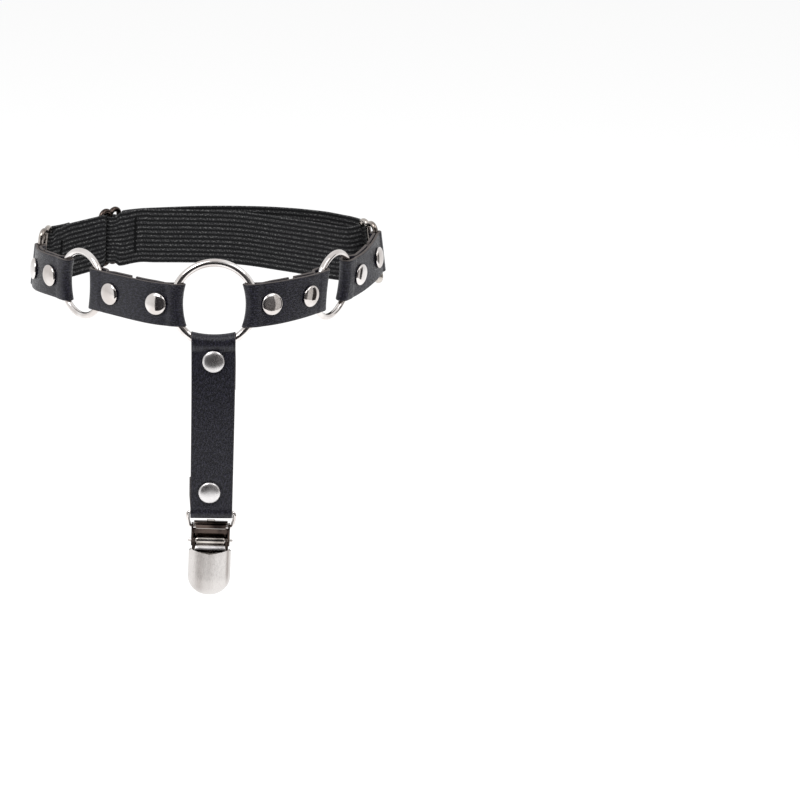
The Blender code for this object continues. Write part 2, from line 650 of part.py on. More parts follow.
def clip_pin():
    bar_across("clip_pin", PIN_RADIUS, 10.3, PIN_FORWARD, -PIN_DROP, steps=12)
    barrel = bar_across("clip_barrel", BARREL_RADIUS, ARM_INSIDE - 0.4, PIN_FORWARD, -PIN_DROP, steps=20)
    cut(barrel, bar_across("barrel_bore", PIN_RADIUS + 0.15, 12.0, PIN_FORWARD, -PIN_DROP))


def jaw_surface(inset, rows, columns):
    """One face of the shield, inset from its outer face: a dome whose rim turns back all round."""
    half = JAW_HALF_WIDTH - inset
    bend = JAW_FOOT + JAW_BEND
    depth = JAW_BEND - inset
    straight = np.linspace(JAW_TOP, bend, rows // 2)[:-1]
    round_end = bend - depth * np.sin(np.radians(np.linspace(0, 86, rows - len(straight))))
    across = np.sin(np.radians(np.linspace(-90.0, 90.0, columns)))
    grid = []
    for height in (*straight, *round_end):
        below = max(0.0, bend - height) / depth
        line = []
        for u in across:
            x = u * half * math.sqrt(1.0 - below * below)
            edge = math.hypot(x / half, below)
            forward = JAW_RIM + (JAW_CROWN - inset - JAW_RIM) * math.sqrt(max(0.0, 1.0 - edge ** 3))
            notch = JAW_NOTCH * max(0.0, 1.0 - abs(x) / 8.0) + 0.4 * max(0.0, abs(x) - 8.2) ** 2
            line.append((x, forward, height - notch * max(0.0, 1.0 - (JAW_TOP - height) / 6.0)))
        grid.append(line)
    return clip_points(grid)


def clip_jaw(rows=12, columns=9):
    """The shield in front, with a shallow notch along its top, a neck up to the barrel and two arms."""
    points, faces = slab(jaw_surface(0.0, rows, columns), jaw_surface(SHEET, rows, columns))
    jaw = solid("clip_jaw", points, faces, SATIN_NICKEL, origin=clip_points((0.0, PIN_FORWARD, -PIN_DROP)))
    angle = np.radians(np.linspace(35, 200, 8))
    arm = [(PIN_FORWARD + 1.7 * math.cos(a), -PIN_DROP + 1.7 * math.sin(a)) for a in angle]
    arm += [(-1.2, -15.8), (0.6, -21.0), (2.6, -21.0), (2.9, -18.2), (1.9, -15.4)]
    for side, label in ((1, "right"), (-1, "left")):
        low, high = sorted((side * ARM_INSIDE, side * (ARM_INSIDE + 0.7)))
        cut(jaw, plate("arm_" + label, arm, 0, low, high), "UNION")
    neck = [(0.3, -15.7), (1.2, -15.6), (3.4, -17.9), (3.4, -19.4), (2.7, -19.2), (0.3, -16.4)]
    cut(jaw, plate("neck", neck, 0, -ARM_INSIDE - 0.3, ARM_INSIDE + 0.3), "UNION")
    cut(jaw, bar_across("jaw_bore", PIN_RADIUS + PIN_CLEAR, 12.0, PIN_FORWARD, -PIN_DROP))


def main():
    for old in list(bpy.data.objects):
        bpy.data.objects.remove(old)
    ring("centre_ring", CENTRE_RING_RADIUS, CENTRE_WIRE, 34, 9)
    ring("left_side_ring", SIDE_RING_RADIUS, SIDE_WIRE, 28, 8)
    ring("right_side_ring", SIDE_RING_RADIUS, SIDE_WIRE, 28, 8)
    for name in ("left_slide", "right_slide", "adjuster"):
        slide(name)
    side_straps()
    drop_strap()
    elastic_band()
    clip_loop()
    clip_frame()
    clip_pin()
    clip_jaw()


main()
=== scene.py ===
"""The looks of a sock garter: leather straps, nickel rings and rivets, ribbed elastic and a sock clip.

Shapes are surfaces worked out in millimetres from the same named sizes as the solids, and loose_piece() makes
them metres. +X is right and -Y is the front, seen by the viewer, and +Z is up. The origin is the centre of the
leg opening.
"""
import math
from collections import namedtuple

import bpy
import numpy as np
from mathutils import Matrix, Vector
from mathutils.geometry import tessellate_polygon


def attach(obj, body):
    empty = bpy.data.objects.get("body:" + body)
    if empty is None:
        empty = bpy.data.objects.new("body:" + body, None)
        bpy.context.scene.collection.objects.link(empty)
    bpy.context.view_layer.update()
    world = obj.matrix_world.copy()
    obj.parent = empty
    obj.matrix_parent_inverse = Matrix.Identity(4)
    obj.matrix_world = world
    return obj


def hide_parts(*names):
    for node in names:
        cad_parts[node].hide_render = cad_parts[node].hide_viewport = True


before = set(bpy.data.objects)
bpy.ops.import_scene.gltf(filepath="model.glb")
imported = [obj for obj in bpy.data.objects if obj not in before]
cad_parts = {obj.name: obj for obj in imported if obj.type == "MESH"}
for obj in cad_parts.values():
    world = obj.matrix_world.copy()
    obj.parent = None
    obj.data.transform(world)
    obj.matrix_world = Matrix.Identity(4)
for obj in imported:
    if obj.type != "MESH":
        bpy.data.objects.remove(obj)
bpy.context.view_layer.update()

MM = 0.001

# Leather and elastic
LEATHER = 1.4
LAYER_GAP = 0.2
CLEAR = 0.15
FOLD_SLOPE = 44.0
TAIL_GAP = 3.2  # between the two ends of a strap's inner layer
INNER_SLIPS = (0.6, 0.6)  # how far a strap's inner layer lies too high, near each end
ELASTIC = 1.2
ELASTIC_WIDTH = 26.8
ELASTIC_NARROW = 22.8
ELASTIC_CLEAR = 0.25
RIBS = 12
STEPS_PER_RIB = 5
RIB_HEIGHT = 0.17
EDGE_HALF_THICKNESS = 0.22

# Rings, slides and rivets
CENTRE_RING_RADIUS, CENTRE_WIRE = 18.4, 1.85
SIDE_RING_RADIUS, SIDE_WIRE = 15.0, 1.5
BAR_PITCH = 6.0
SLIDE_WIRE = 1.3
SLIDE_HEIGHT = 31.0
ADJUSTER_FOOT_LIFT = 2.0
CAP_RADIUS, CAP_HEIGHT = 5.05, 1.8
BACK_CAP_RADIUS, BACK_CAP_HEIGHT = 2.8, 0.9
SHANK_RADIUS = 1.35
CAP_LIFT = 0.25
CAP_DIP, DIP_REACH = 0.16, 2.35

# Drop strap and clip
DROP_LEAN = 0.7
DROP_ASIDE = -0.4  # how far to the right of the ring's middle it starts
DROP_LENGTH = 79.8
DROP_WIDTHS = (19.9, 19.2)
DROP_TOP_TAIL, DROP_FOOT_TAIL = 21.0, 16.6  # how far its inner layer reaches from each end
DROP_SLIPS = (0.2, -0.5)  # how far the inner layer lies to the right, near each end
DROP_RIVET_ASIDE = -1.0
CLIP_LEAN = 1.9
LOOP_WIRE = 0.9
LOOP_DROP = 7.0
LOOP_BAR_DROP = 0.35
PIN_DROP = 13.6
PIN_FORWARD = 0.3
PIN_RADIUS = 0.9
PIN_HALF_LENGTH, PIN_DOME = 10.3, 0.35
HOLE_CLEAR = 0.25
SHEET = 0.8
EAR_INSIDE = 8.0
BACK_OF_FRAME = -2.4
ARM_INSIDE = 7.0
BARREL_RADIUS = 1.8
JAW_HALF_WIDTH = 9.8
JAW_TOP, JAW_FOOT = -18.0, -41.0
JAW_BEND = 9.2
JAW_CROWN, JAW_RIM = 3.6, -1.1
JAW_NOTCH, NOTCH_HALF_WIDTH = 1.7, 8.0
NOTCH_FADE = 6.0  # how far below the top edge the notch still shows
CORNER_START, CORNER_DROP = 8.2, 0.4  # where the shield's top corners start to drop, and how fast
JAW_BOXINESS = 2.2
ARM_RADIUS, ARM_SHEET = 1.7, 0.7

Place = namedtuple("Place", "x y z heading lean_x lean_y")
HARDWARE = {
    #                    x      y      z    heading lean_x lean_y
    "centre_ring": Place(0.0, -60.0, 0.0, 0.0, 0.00, 0.14),
    "left_side_ring": Place(-60.6, -24.8, -0.5, 129.0, 0.04, 0.00),
    "right_side_ring": Place(54.6, -26.2, -0.4, 57.5, 0.08, 0.00),
    "left_slide": Place(-81.4, 24.0, -1.6, 74.0, 0.12, 0.00),
    "right_slide": Place(75.2, 24.6, 2.5, 121.0, -0.13, 0.00),
    "adjuster": Place(-50.9, 52.0, 0.9, 46.0, 0.04, 0.00),
}

# A fold round a wire: wire radius, reach past the wire's centre, how much further its corners reach,
# share of the bulge that shows outside, and distance from the fold's tip to the nearest rivet
Fold = namedtuple("Fold", "wire reach hollow share rivet")
FOLDS = {
    "centre_left": Fold(CENTRE_WIRE, 4.5, 1.3, 0.75, 11.9),
    "centre_right": Fold(CENTRE_WIRE, 4.5, 1.4, 0.75, 11.6),
    "centre_bottom": Fold(CENTRE_WIRE, 4.5, 1.2, 0.75, 12.1),
    "side_left": Fold(SIDE_WIRE, 6.4, 1.2, 0.30, 14.1),
    "side_right": Fold(SIDE_WIRE, 6.4, 1.2, 0.30, 13.8),
    "side_close": Fold(SIDE_WIRE, 5.2, 1.6, 0.30, 11.9),
    "side_back": Fold(SIDE_WIRE, 6.4, 1.2, 0.30, 13.0),
    "slide_left": Fold(SLIDE_WIRE, 3.1, 0.0, 0.60, 13.0),
    "slide_right": Fold(SLIDE_WIRE, 3.1, 0.0, 0.60, 12.4),
    "clip": Fold(LOOP_WIRE, 3.2, 0.0, 0.35, 13.3),
}

Strap = namedtuple("Strap", "start leave rise turn fold end arrive end_rise end_turn end_fold width lift")
STRAPS = {
    "left_front": Strap("centre_ring", -CENTRE_RING_RADIUS, -0.5, 170.0, "centre_left",
                        "left_side_ring", -SIDE_RING_RADIUS, 0.1, 10.0, "side_left", 19.2, 0.3),
    "right_front": Strap("centre_ring", CENTRE_RING_RADIUS, -0.6, 17.0, "centre_right",
                         "right_side_ring", -SIDE_RING_RADIUS, 0.3, -6.0, "side_right", 19.6, 0.2),
    "left_back": Strap("left_side_ring", SIDE_RING_RADIUS, -0.4, 0.0, "side_close",
                       "left_slide", -BAR_PITCH, -1.5, 14.0, "slide_left", 19.6, 0.0),
    "right_back": Strap("right_side_ring", SIDE_RING_RADIUS, 0.2, 0.0, "side_back",
                        "right_slide", -BAR_PITCH, 1.0, -41.0, "slide_right", 19.6, 0.0),
}

# Turning points of the elastic's layers
INNER_LAYER = [(-36.2, 55.6, 1.5), (-29.9, 57.6, 0.9), (-6.9, 60.5, 0.0), (12.6, 56.8, 0.1),
               (32.2, 43.5, 0.8), (50.0, 28.6, 1.8), (58.6, 21.2, 2.2), (64.6, 18.4, 2.4), (69.8, 21.6, 2.5)]
FLAP_END = (-36.9, 57.9, 0.8)
OUTER_LAYER = [(61.9, 44.4, 2.0), (52.3, 53.0, 1.6), (32.7, 62.6, 1.0), (12.8, 67.4, 0.4), (-6.9, 67.9, 0.1),
               (-29.9, 62.8, 0.4), (-37.0, 60.2, 0.6)]
SINGLE_LAYER = [(-60.8, 45.2, -0.9), (-69.8, 38.0, -1.6)]
# Name, place along X, and the two ends as shares of the elastic's half width
STITCH_ROWS = (("adjuster_stitches", -38.0, -0.55, 0.72), ("left_slide_stitches", -73.5, -0.5, 0.5))
STITCH_RADIUS = 0.42


# Shader maths

class Value:
    """A number or colour inside a material. Arithmetic on it adds Math nodes."""

    def __init__(self, look, socket):
        self.look = look
        self.socket = socket

    def combine(self, operation, *others):
        return self.look.node("ShaderNodeMath", {"operation": operation}, *others)

    def __add__(self, other):
        return self.combine("ADD", self, other)

    def __mul__(self, other):
        return self.combine("MULTIPLY", self, other)

    def wave(self, operation):
        """The sine or cosine, brought to 0 to 1."""
        return self.combine(operation, self) * 0.5 + 0.5


class Look:
    """A material, made from one Principled shader and what feeds it."""

    def __init__(self, name):
        self.material = bpy.data.materials.new(name)
        self.material.use_nodes = True
        self.tree = self.material.node_tree
        self.shader = self.tree.nodes["Principled BSDF"]

    def put(self, socket, value):
        if isinstance(value, Value):
            self.tree.links.new(value.socket, socket)
        elif isinstance(value, (int, float)) or socket.type == "VECTOR":
            socket.default_value = value
        else:
            socket.default_value = (*value, 1.0)[:4]

    def node(self, kind, settings=None, *values, out=0, **named):
        """One node: its settings, then the values or links of its sockets, by place or by name."""
        made = self.tree.nodes.new(kind)
        for key, setting in (settings or {}).items():
            setattr(made, key, setting)
        for place, value in enumerate(values):
            self.put(made.inputs[place], value)
        for key, value in named.items():
            self.put(made.inputs[key.replace("_", " ")], value)
        return Value(self, made.outputs[out])

    def mix(self, share, first, second):
        """A colour between two others."""
        made = self.tree.nodes.new("ShaderNodeMix")
        made.data_type = "RGBA"
        self.put(made.inputs["Factor"], share)
        self.put(made.inputs[6], first)
        self.put(made.inputs[7], second)
        return Value(self, made.outputs[2])

    def limits(self, value, low, high, low_result=0.0, high_result=1.0):
        """low becomes low_result and high becomes high_result, with a soft change between them."""
        return self.node("ShaderNodeMapRange", {"interpolation_type": "SMOOTHSTEP"},
                         value, low, high, low_result, high_result)

    def pattern(self):
        """Where a point is on the piece's own pattern, in millimetres."""
        return self.node("ShaderNodeTexCoord", out=2)

    def space(self):
        """Where a point is in the object, in metres."""
        return self.node("ShaderNodeTexCoord", out=3)

    def stretched(self, where, scale, turn=0.0):
        """Those places stretched, and turned in their plane."""
        return self.node("ShaderNodeMapping", None, where, (0.0, 0.0, 0.0), (0.0, 0.0, turn), scale)

    def noise(self, where, scale, detail=2.0, roughness=0.5):
        return self.node("ShaderNodeTexNoise", Vector=where, Scale=scale, Detail=detail, Roughness=roughness)

    def attribute(self, name):
        return self.node("ShaderNodeAttribute", {"attribute_name": name}, out=2)

    def bump(self, height, distance, strength=1.0):
        """Relief of that height, in millimetres."""
        return self.node("ShaderNodeBump", None, Strength=strength, Distance=distance * MM, Height=height)

    def finish(self, **sockets):
        for key, value in sockets.items():
            self.put(self.shader.inputs[key.replace("_", " ")], value)
        return self.material


def leather_look():
    """Black leather with a slanted grain. Its cut edges are grey-brown."""
    look = Look("black_leather")
    where = look.pattern()
    slanted = look.stretched(where, (0.75, 1.9, 1.0), math.radians(38))
    wrinkle = look.noise(slanted, 0.75, 3.0, 0.55)
    pebble = look.noise(where, 1.9, 2.0, 0.6)
    broad = look.noise(where, 0.13, 3.0, 0.5)
    fibre = look.noise(look.stretched(where, (3.0, 3.0, 1.0)), 1.2, 3.0, 0.7)
    cut_edge_and_painted_shade = look.attribute("cut_edge_and_painted_shade")
    black = look.mix(broad, (0.0012, 0.0011, 0.0028), (0.0040, 0.0038, 0.0078))
    black = look.mix(look.limits(wrinkle, 0.47, 0.64), black, (0.016, 0.0155, 0.025))
    black = look.mix(look.limits(pebble, 0.54, 0.66) * 0.7, black, (0.040, 0.039, 0.054))
    raw = look.mix(fibre, (0.034, 0.028, 0.027), (0.120, 0.104, 0.098))
    colour = look.mix(cut_edge_and_painted_shade, black, raw)
    rough = look.limits(wrinkle, 0.35, 0.65, 0.42, 0.27) + cut_edge_and_painted_shade * 0.4
    height = wrinkle + pebble * 0.3
    return look.finish(Base_Color=colour, Roughness=rough, Specular_IOR_Level=0.34,
                       Normal=look.bump(height, 0.34, 0.8))


def elastic_look():
    """Black elastic: lengthwise ribs of knitted cord, with light flecks of thread between them."""
    look = Look("black_elastic")
    where = look.pattern()
    parts = look.tree.nodes.new("ShaderNodeSeparateXYZ")
    look.put(parts.inputs[0], where)
    along, across = Value(look, parts.outputs[0]), Value(look, parts.outputs[1])
    pitch = ELASTIC_WIDTH / RIBS
    slant = along * (2 * math.pi / 1.35) + across * (2 * math.pi / 2.9)
    stitch = slant.wave("SINE")
    rib = (across * (2 * math.pi / pitch)).wave("COSINE")
    flecks = look.noise(look.stretched(where, (0.6, 1.5, 1.0)), 1.35, 3.0, 0.7)
    broad = look.noise(where, 0.11, 2.0, 0.5)
    shown = look.limits(flecks, 0.50, 0.66) * look.limits(rib, 0.40, 0.90)
    ground = look.mix(broad, (0.0020, 0.0020, 0.0024), (0.0060, 0.0060, 0.0068))
    knit = look.mix(rib * (stitch * 0.6 + 0.4), ground, (0.030, 0.030, 0.032))
    colour = look.mix(shown, knit, (0.15, 0.15, 0.148))
    height = stitch * 0.6 + flecks * 0.7
    return look.finish(Base_Color=colour, Roughness=0.86, Specular_IOR_Level=0.15,
                       Normal=look.bump(height, 0.22, 0.8))


def nickel_look(name, pale, deep, roughness):
    """Polished nickel plate with faint wipe marks. Where pale and deep are dark, the plate is painted shade and
    the mottle is painted reflection.
    """
    look = Look(name)
    where = look.space()
    wipes_and_painted_shade = look.noise(where, 95.0, 3.0, 0.55)
    fine = look.noise(where, 900.0, 2.0, 0.6)
    colour = look.mix(look.limits(wipes_and_painted_shade, 0.35, 0.65), deep, pale)
    colour = look.mix(look.attribute("cut_edge_and_painted_shade") * 0.8, colour, (0.72, 0.69, 0.66))
    rough = look.limits(wipes_and_painted_shade, 0.35, 0.7, roughness, roughness + 0.07)
    return look.finish(Base_Color=colour, Roughness=rough, Metallic=1.0, Normal=look.bump(fine, 0.004, 0.5))


def satin_look():
    """Satin nickel, tumbled matt, with a brushing that runs down the shield."""
    look = Look("satin_nickel")
    where = look.space()
    brushed = look.noise(look.stretched(where, (2600, 900, 420)), 1.0, 2.0, 0.6)
    cloud = look.noise(where, 120.0, 3.0, 0.5)
    colour = look.mix(cloud, (0.57, 0.545, 0.53), (0.66, 0.635, 0.62))
    # On the shield this attribute holds painted reflection, so the mix darkens the satin with painted dark
    # reflections
    colour = look.mix(look.attribute("cut_edge_and_painted_shade"), colour, (0.27, 0.24, 0.225))
    rough = look.limits(brushed, 0.3, 0.7, 0.19, 0.30)
    return look.finish(Base_Color=colour, Roughness=rough, Metallic=1.0,
                       Normal=look.bump(brushed, 0.010, 0.6))


def thread_look():
    look = Look("black_thread")
    twist = look.noise(look.space(), 2200.0, 2.0, 0.6)
    colour = look.mix(twist, (0.0015, 0.0015, 0.0015), (0.008, 0.008, 0.009))
    return look.finish(Base_Color=colour, Roughness=0.9, Specular_IOR_Level=0.1,
                       Normal=look.bump(twist, 0.05, 0.6))


# Directions and curves

def unit(vectors):
    vectors = np.asarray(vectors, float)
    return vectors / np.linalg.norm(vectors, axis=-1, keepdims=True)


def compass(heading):
    angle = math.radians(heading)
    return np.array([math.cos(angle), math.sin(angle), 0.0])


def smoothstep(value):
    value = np.clip(value, 0.0, 1.0)
    return value * value * (3.0 - 2.0 * value)


def axes_of(place):
    """Centre, heading direction and upright direction of a piece of hardware."""
    upright = unit([place.lean_x, place.lean_y, 1.0])
    return np.array([place.x, place.y, place.z]), compass(place.heading), upright


def away_from_leg(sides, place):
    sides = unit(sides)
    middle = sides[0] if sides.ndim > 1 else sides
    return sides if np.dot(middle, place) > 0 else -sides


def bezier(first, first_way, last, last_way, count=60, pull=0.36):
    reach = pull * np.linalg.norm(np.subtract(last, first))
    handles = (first, first + reach * first_way, last - reach * last_way, last)
    u = np.linspace(0.0, 1.0, count)[:, None]
    weights = ((1 - u) ** 3, 3 * u * (1 - u) ** 2, 3 * u * u * (1 - u), u ** 3)
    return sum(weight * handle for weight, handle in zip(weights, handles))


def lengths(path):
    """The distance gone at each point of a path."""
    return np.concatenate([[0.0], np.cumsum(np.linalg.norm(np.diff(path, axis=0), axis=1))])


def resampled(line, step):
    """A path with points an even distance apart."""
    line = np.asarray(line, float)
    gone = lengths(line)
    even = np.linspace(0.0, gone[-1], max(2, int(round(gone[-1] / step)) + 1))
    return np.stack([np.interp(even, gone, line[:, axis]) for axis in range(line.shape[1])], axis=-1)


def softened(line, step, reach):
    """The path with its corners rounded: each point is a weighted mean of those within three reaches."""
    even = resampled(line, step)
    spread = int(math.ceil(3 * reach / step))
    offsets = np.arange(-spread, spread + 1)
    weights = np.exp(-0.5 * (offsets * step / reach) ** 2)
    weights /= weights.sum()
    ahead = even[-1] + np.outer(np.arange(1, spread + 1), even[-1] - even[-2])
    behind = even[0] + np.outer(np.arange(spread, 0, -1), even[0] - even[1])
    padded = np.concatenate([behind, even, ahead])
    return sum(weight * padded[spread + offset:spread + offset + len(even)]
               for weight, offset in zip(weights, offsets))


class Route:
    """A path that a strap follows: a position, an outward side and an upright side at each length s."""

    def __init__(self, points, up_first, up_last):
        self.points = np.asarray(points, float)
        self.s = lengths(self.points)
        self.length = self.s[-1]
        self.tangent = unit(np.gradient(self.points, self.s, axis=0))
        share = smoothstep(self.s / self.length)[:, None]
        self.up = unit((1 - share) * up_first + share * up_last)
        self.out = away_from_leg(np.cross(self.tangent, self.up), self.points.mean(axis=0))

    def at(self, s, t, w):
        """Points at length s, t outwards and w up."""
        s, t, w = np.broadcast_arrays(*(np.asarray(value, float) for value in (s, t, w)))
        inside = np.clip(s, 0.0, self.length)

        def read(values):
            return np.stack([np.interp(inside, self.s, values[:, axis]) for axis in range(3)], axis=-1)

        beyond = (s - inside)[..., None]
        place = read(self.points) + beyond * read(self.tangent)
        return place + t[..., None] * read(self.out) + w[..., None] * read(self.up)


def tangents(path, closed=False):
    if closed:
        ahead = unit(np.roll(path, -1, axis=0) - path)
        return unit(ahead + np.roll(ahead, 1, axis=0))
    ahead = unit(np.diff(path, axis=0))
    return unit(np.concatenate([ahead[:1], ahead[1:] + ahead[:-1], ahead[-1:]]))


# Meshes

Shell = namedtuple("Shell", "grid closed along across edge")
# grid holds points by row and column, and its columns run all the way round. closed says that the rows do
# too. along and across are the pattern's coordinates in millimetres. edge is 1 on a cut edge, and on the shield
# it is painted reflection: how far the satin is darkened

# The pattern's two coordinates on a fan, from x, y and z
FAN_PATTERN = np.array([(0.7, 0.1), (0.7, -0.1), (0.1, 1.0)])


def shell(grid, closed=False, along=None, across=None, edge=None):
    rows, columns = grid.shape[:2]
    if along is None:
        along = lengths(grid.mean(axis=1))
    if across is None:
        across = lengths(grid[rows // 2])
    if edge is None:
        edge = np.zeros((rows, columns))
    return Shell(grid, closed, along, across, np.broadcast_to(edge, (rows, columns)))


def shell_parts(made):
    """Points, faces, the corners' pattern coordinates and the points' edge values. Open ends get a fan."""
    rows, columns = made.grid.shape[:2]
    points = made.grid.reshape(-1, 3)
    edge = made.edge.reshape(-1)
    row = np.arange(rows if made.closed else rows - 1)[:, None]
    column = np.arange(columns)[None, :]
    after, beside = (row + 1) % rows, (column + 1) % columns
    quads = np.stack([row * columns + column, row * columns + beside,
                      after * columns + beside, after * columns + column], axis=-1).reshape(-1, 4)
    along = np.append(made.along, 2 * made.along[-1] - made.along[-2])
    across = np.append(made.across, 2 * made.across[-1] - made.across[-2])
    corner_u = np.stack([along[row + step + 0 * column] for step in (0, 0, 1, 1)], axis=-1)
    corner_v = np.stack([across[column + step + 0 * row] for step in (0, 1, 1, 0)], axis=-1)
    faces, corners = [quads], [np.stack([corner_u, corner_v], axis=-1).reshape(-1, 4, 2)]
    if not made.closed:
        for end in (0, rows - 1):
            rim = end * columns + np.arange(columns)
            fan = np.stack([np.roll(rim, -1), rim, np.full(columns, len(points))], axis=-1)
            faces.append(fan if end == 0 else fan[:, ::-1])
            points = np.concatenate([points, made.grid[end].mean(axis=0)[None]])
            edge = np.append(edge, made.edge[end].max())
            corners.append(points[faces[-1]] @ FAN_PATTERN)
    a, b, c, d = (points[quads[:, place]] for place in range(4))
    middle = points.mean(axis=0)
    size = np.einsum("ij,ij->i", a - middle, np.cross(b - middle, c - middle)).sum()
    size += np.einsum("ij,ij->i", a - middle, np.cross(c - middle, d - middle)).sum()
    way = -1 if size < 0 else 1
    faces = [face for group in faces for face in group[:, ::way].tolist()]
    corners = np.concatenate([group[:, ::way].reshape(-1, 2) for group in corners])
    return points, faces, corners, edge


def piece(name, shells, look, body, *nodes, sharp=38.0):
    """One object from its shells, which stands for the named solids and moves with their body."""
    points, faces, corners, edges = [], [], [], []
    count = 0
    for made in shells if isinstance(shells, list) else [shells]:
        some, these, corner, edge = shell_parts(made)
        faces += [[index + count for index in face] for face in these]
        count += len(some)
        points.append(some)
        corners.append(corner)
        edges.append(edge)
    return loose_piece(name, np.concatenate(points), faces, look, body, *nodes, sharp=sharp,
                       corners=np.concatenate(corners), edge=np.concatenate(edges))


def loose_piece(name, points, faces, look, body, *nodes, sharp=38.0, bevel=0.0, corners=None, edge=None):
    mesh = bpy.data.meshes.new(name)
    mesh.from_pydata((np.asarray(points) * MM).tolist(), [], faces)
    if corners is not None:
        layer = mesh.uv_layers.new(name="pattern")
        layer.data.foreach_set("uv", np.asarray(corners, np.float32).ravel())
        attribute = mesh.attributes.new("cut_edge_and_painted_shade", "FLOAT", "POINT")
        attribute.data.foreach_set("value", np.asarray(edge, np.float32))
    mesh.shade_smooth()
    mesh.set_sharp_from_angle(angle=math.radians(sharp))
    made = bpy.data.objects.new(name, mesh)
    mesh.materials.append(look)
    bpy.context.scene.collection.objects.link(made)
    if bevel:
        change = made.modifiers.new("rounded_edges", "BEVEL")
        change.width = bevel * MM
        change.segments = 2
        change.limit_method = "ANGLE"
        change.angle_limit = math.radians(40)
    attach(made, body)
    if nodes:
        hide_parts(*nodes)
    return made


def wire(path, radius, sides, closed=False, side_hint=(0.0, 0.0, 1.0), ends=0.0):
    """A round wire along a path. Its free ends are rounded over the length `ends`."""
    path = np.asarray(path, float)
    tangent = tangents(path, closed)
    side = unit(np.cross(tangent, np.asarray(side_hint, float)))
    other = np.cross(side, tangent)
    radii = np.full(len(path), float(radius))
    if ends:
        turn = np.radians(np.linspace(80, 0, 5))
        first = path[0] - np.outer(ends * np.sin(turn), tangent[0])
        last = path[-1] + np.outer(ends * np.sin(turn[::-1]), tangent[-1])
        path = np.concatenate([first[:-1], path, last[1:]])
        side, other = (np.pad(way, ((4, 4), (0, 0)), mode="edge") for way in (side, other))
        radii = np.concatenate([radius * np.cos(turn[:-1]), radii, radius * np.cos(turn[::-1][1:])])
    turn = 2 * np.pi * np.arange(sides) / sides
    round_it = np.cos(turn)[:, None] * side[:, None, :] + np.sin(turn)[:, None] * other[:, None, :]
    return shell(path[:, None, :] + radii[:, None, None] * round_it, closed)


def turned(profile, centre, axis, steps):
    """A profile of (radius, height) turned about an axis."""
    profile = np.asarray(profile, float)
    axis = unit(axis)
    side = unit(np.cross(axis, (0.31, 0.17, 0.93)))
    other = np.cross(axis, side)
    angle = 2 * np.pi * np.arange(steps) / steps
    around = np.cos(angle)[:, None] * side + np.sin(angle)[:, None] * other
    return shell(centre + profile[:, 1, None, None] * axis + profile[:, 0, None, None] * around)


def rounded_section(half_thickness, corner, across_steps, corner_steps=3):
    """Outline of a strip's section: place across (-1 to 1), inset from the edge, height, cut-edge mark."""
    inner = half_thickness - corner
    turn = np.linspace(0.0, np.pi / 2, corner_steps + 1)
    over = np.linspace(-1.0, 1.0, across_steps + 1)
    top = [(u, corner if abs(u) == 1 else corner * abs(u), half_thickness, 0.0) for u in over]
    right = [(1.0, corner - corner * math.sin(a), inner + corner * math.cos(a), min(1.0, i * 0.6))
             for i, a in enumerate(turn)][1:]
    side = top + right
    lower = [(u, inset, -height, mark) for u, inset, height, mark in side[::-1]]
    left = [(-u, inset, -height, mark) for u, inset, height, mark in right]
    closing = [(-u, inset, height, mark) for u, inset, height, mark in right[::-1]]
    return np.array(side + lower + left + closing)


# Hardware

def ring(name, radius, wire_radius, look):
    centre, along, up = axes_of(HARDWARE[name])
    angle = 2 * np.pi * np.arange(144) / 144
    path = centre + radius * (np.cos(angle)[:, None] * along + np.sin(angle)[:, None] * up)
    made = wire(path, wire_radius, 24, closed=True, side_hint=np.cross(along, up))
    piece(name + "_wire", made, look, "band", name)


def slide(name, look, foot_lift=0.0):
    """Two arches at the top and two at the bottom, over three upright bars. Its foot can end higher."""
    centre, along, up = axes_of(HARDWARE[name])
    centre = centre + foot_lift / 2 * up
    half = BAR_PITCH / 2
    spring = (SLIDE_HEIGHT - foot_lift) / 2 - SLIDE_WIRE - half
    arch = np.radians(np.linspace(0.0, 140.0, 19))
    right = np.c_[half + half * np.cos(arch), spring + half * np.sin(arch)]
    top = np.concatenate([right, right[::-1] * (-1.0, 1.0)])
    outline = np.concatenate([top, top[::-1] * (1.0, -1.0), top[:1]])
    outline = resampled(outline, 0.5)[:-1]
    path = centre + outline[:, :1] * along + outline[:, 1:] * up
    bar = np.linspace(-spring - 1.6, spring + 1.6, 14)[:, None] * up + centre
    hint = np.cross(along, up)
    piece(name + "_wire", [wire(path, SLIDE_WIRE, 16, closed=True, side_hint=hint),
                           wire(bar, SLIDE_WIRE * 0.97, 16, side_hint=hint)], look, "band", name)


def rivet(name, centre, axis, look):
    """A domed cap outside, pressed against the leather, and a small flat one inside, joined by a shank."""
    seat = LEATHER + LAYER_GAP / 2
    rim = seat + CAP_LIFT + 0.30
    rise = seat + CAP_LIFT + CAP_HEIGHT - rim
    tilt = np.radians(np.linspace(88.5, 4, 22))
    dome = [(CAP_RADIUS * math.cos(a) ** 0.92, rim + rise * math.sin(a)) for a in tilt]
    under = [(CAP_RADIUS, rim - 0.08), (CAP_RADIUS - 0.03, rim - 0.26), (CAP_RADIUS - 0.16, seat + 0.10),
             (CAP_RADIUS - 0.5, seat + 0.02), (SHANK_RADIUS, seat + 0.02), (SHANK_RADIUS, -seat - 0.02)]
    edge = [(BACK_CAP_RADIUS - 0.25, -seat - 0.02), (BACK_CAP_RADIUS - 0.05, -seat - 0.12),
            (BACK_CAP_RADIUS, -seat - 0.35), (BACK_CAP_RADIUS - 0.1, -seat - 0.6)]
    back = [(BACK_CAP_RADIUS * 0.92 * math.cos(a), -seat - 0.55 - (BACK_CAP_HEIGHT - 0.55) * math.sin(a))
            for a in np.radians((25, 50, 70, 88))]
    piece(name + "_cap", turned(dome + under + edge + back, centre, axis, 56), look, "band", name, sharp=50.0)


# Straps

def half_gap():
    return (LEATHER + LAYER_GAP) / 2


def fold_radius(fold):
    return fold.wire + CLEAR + LEATHER / 2


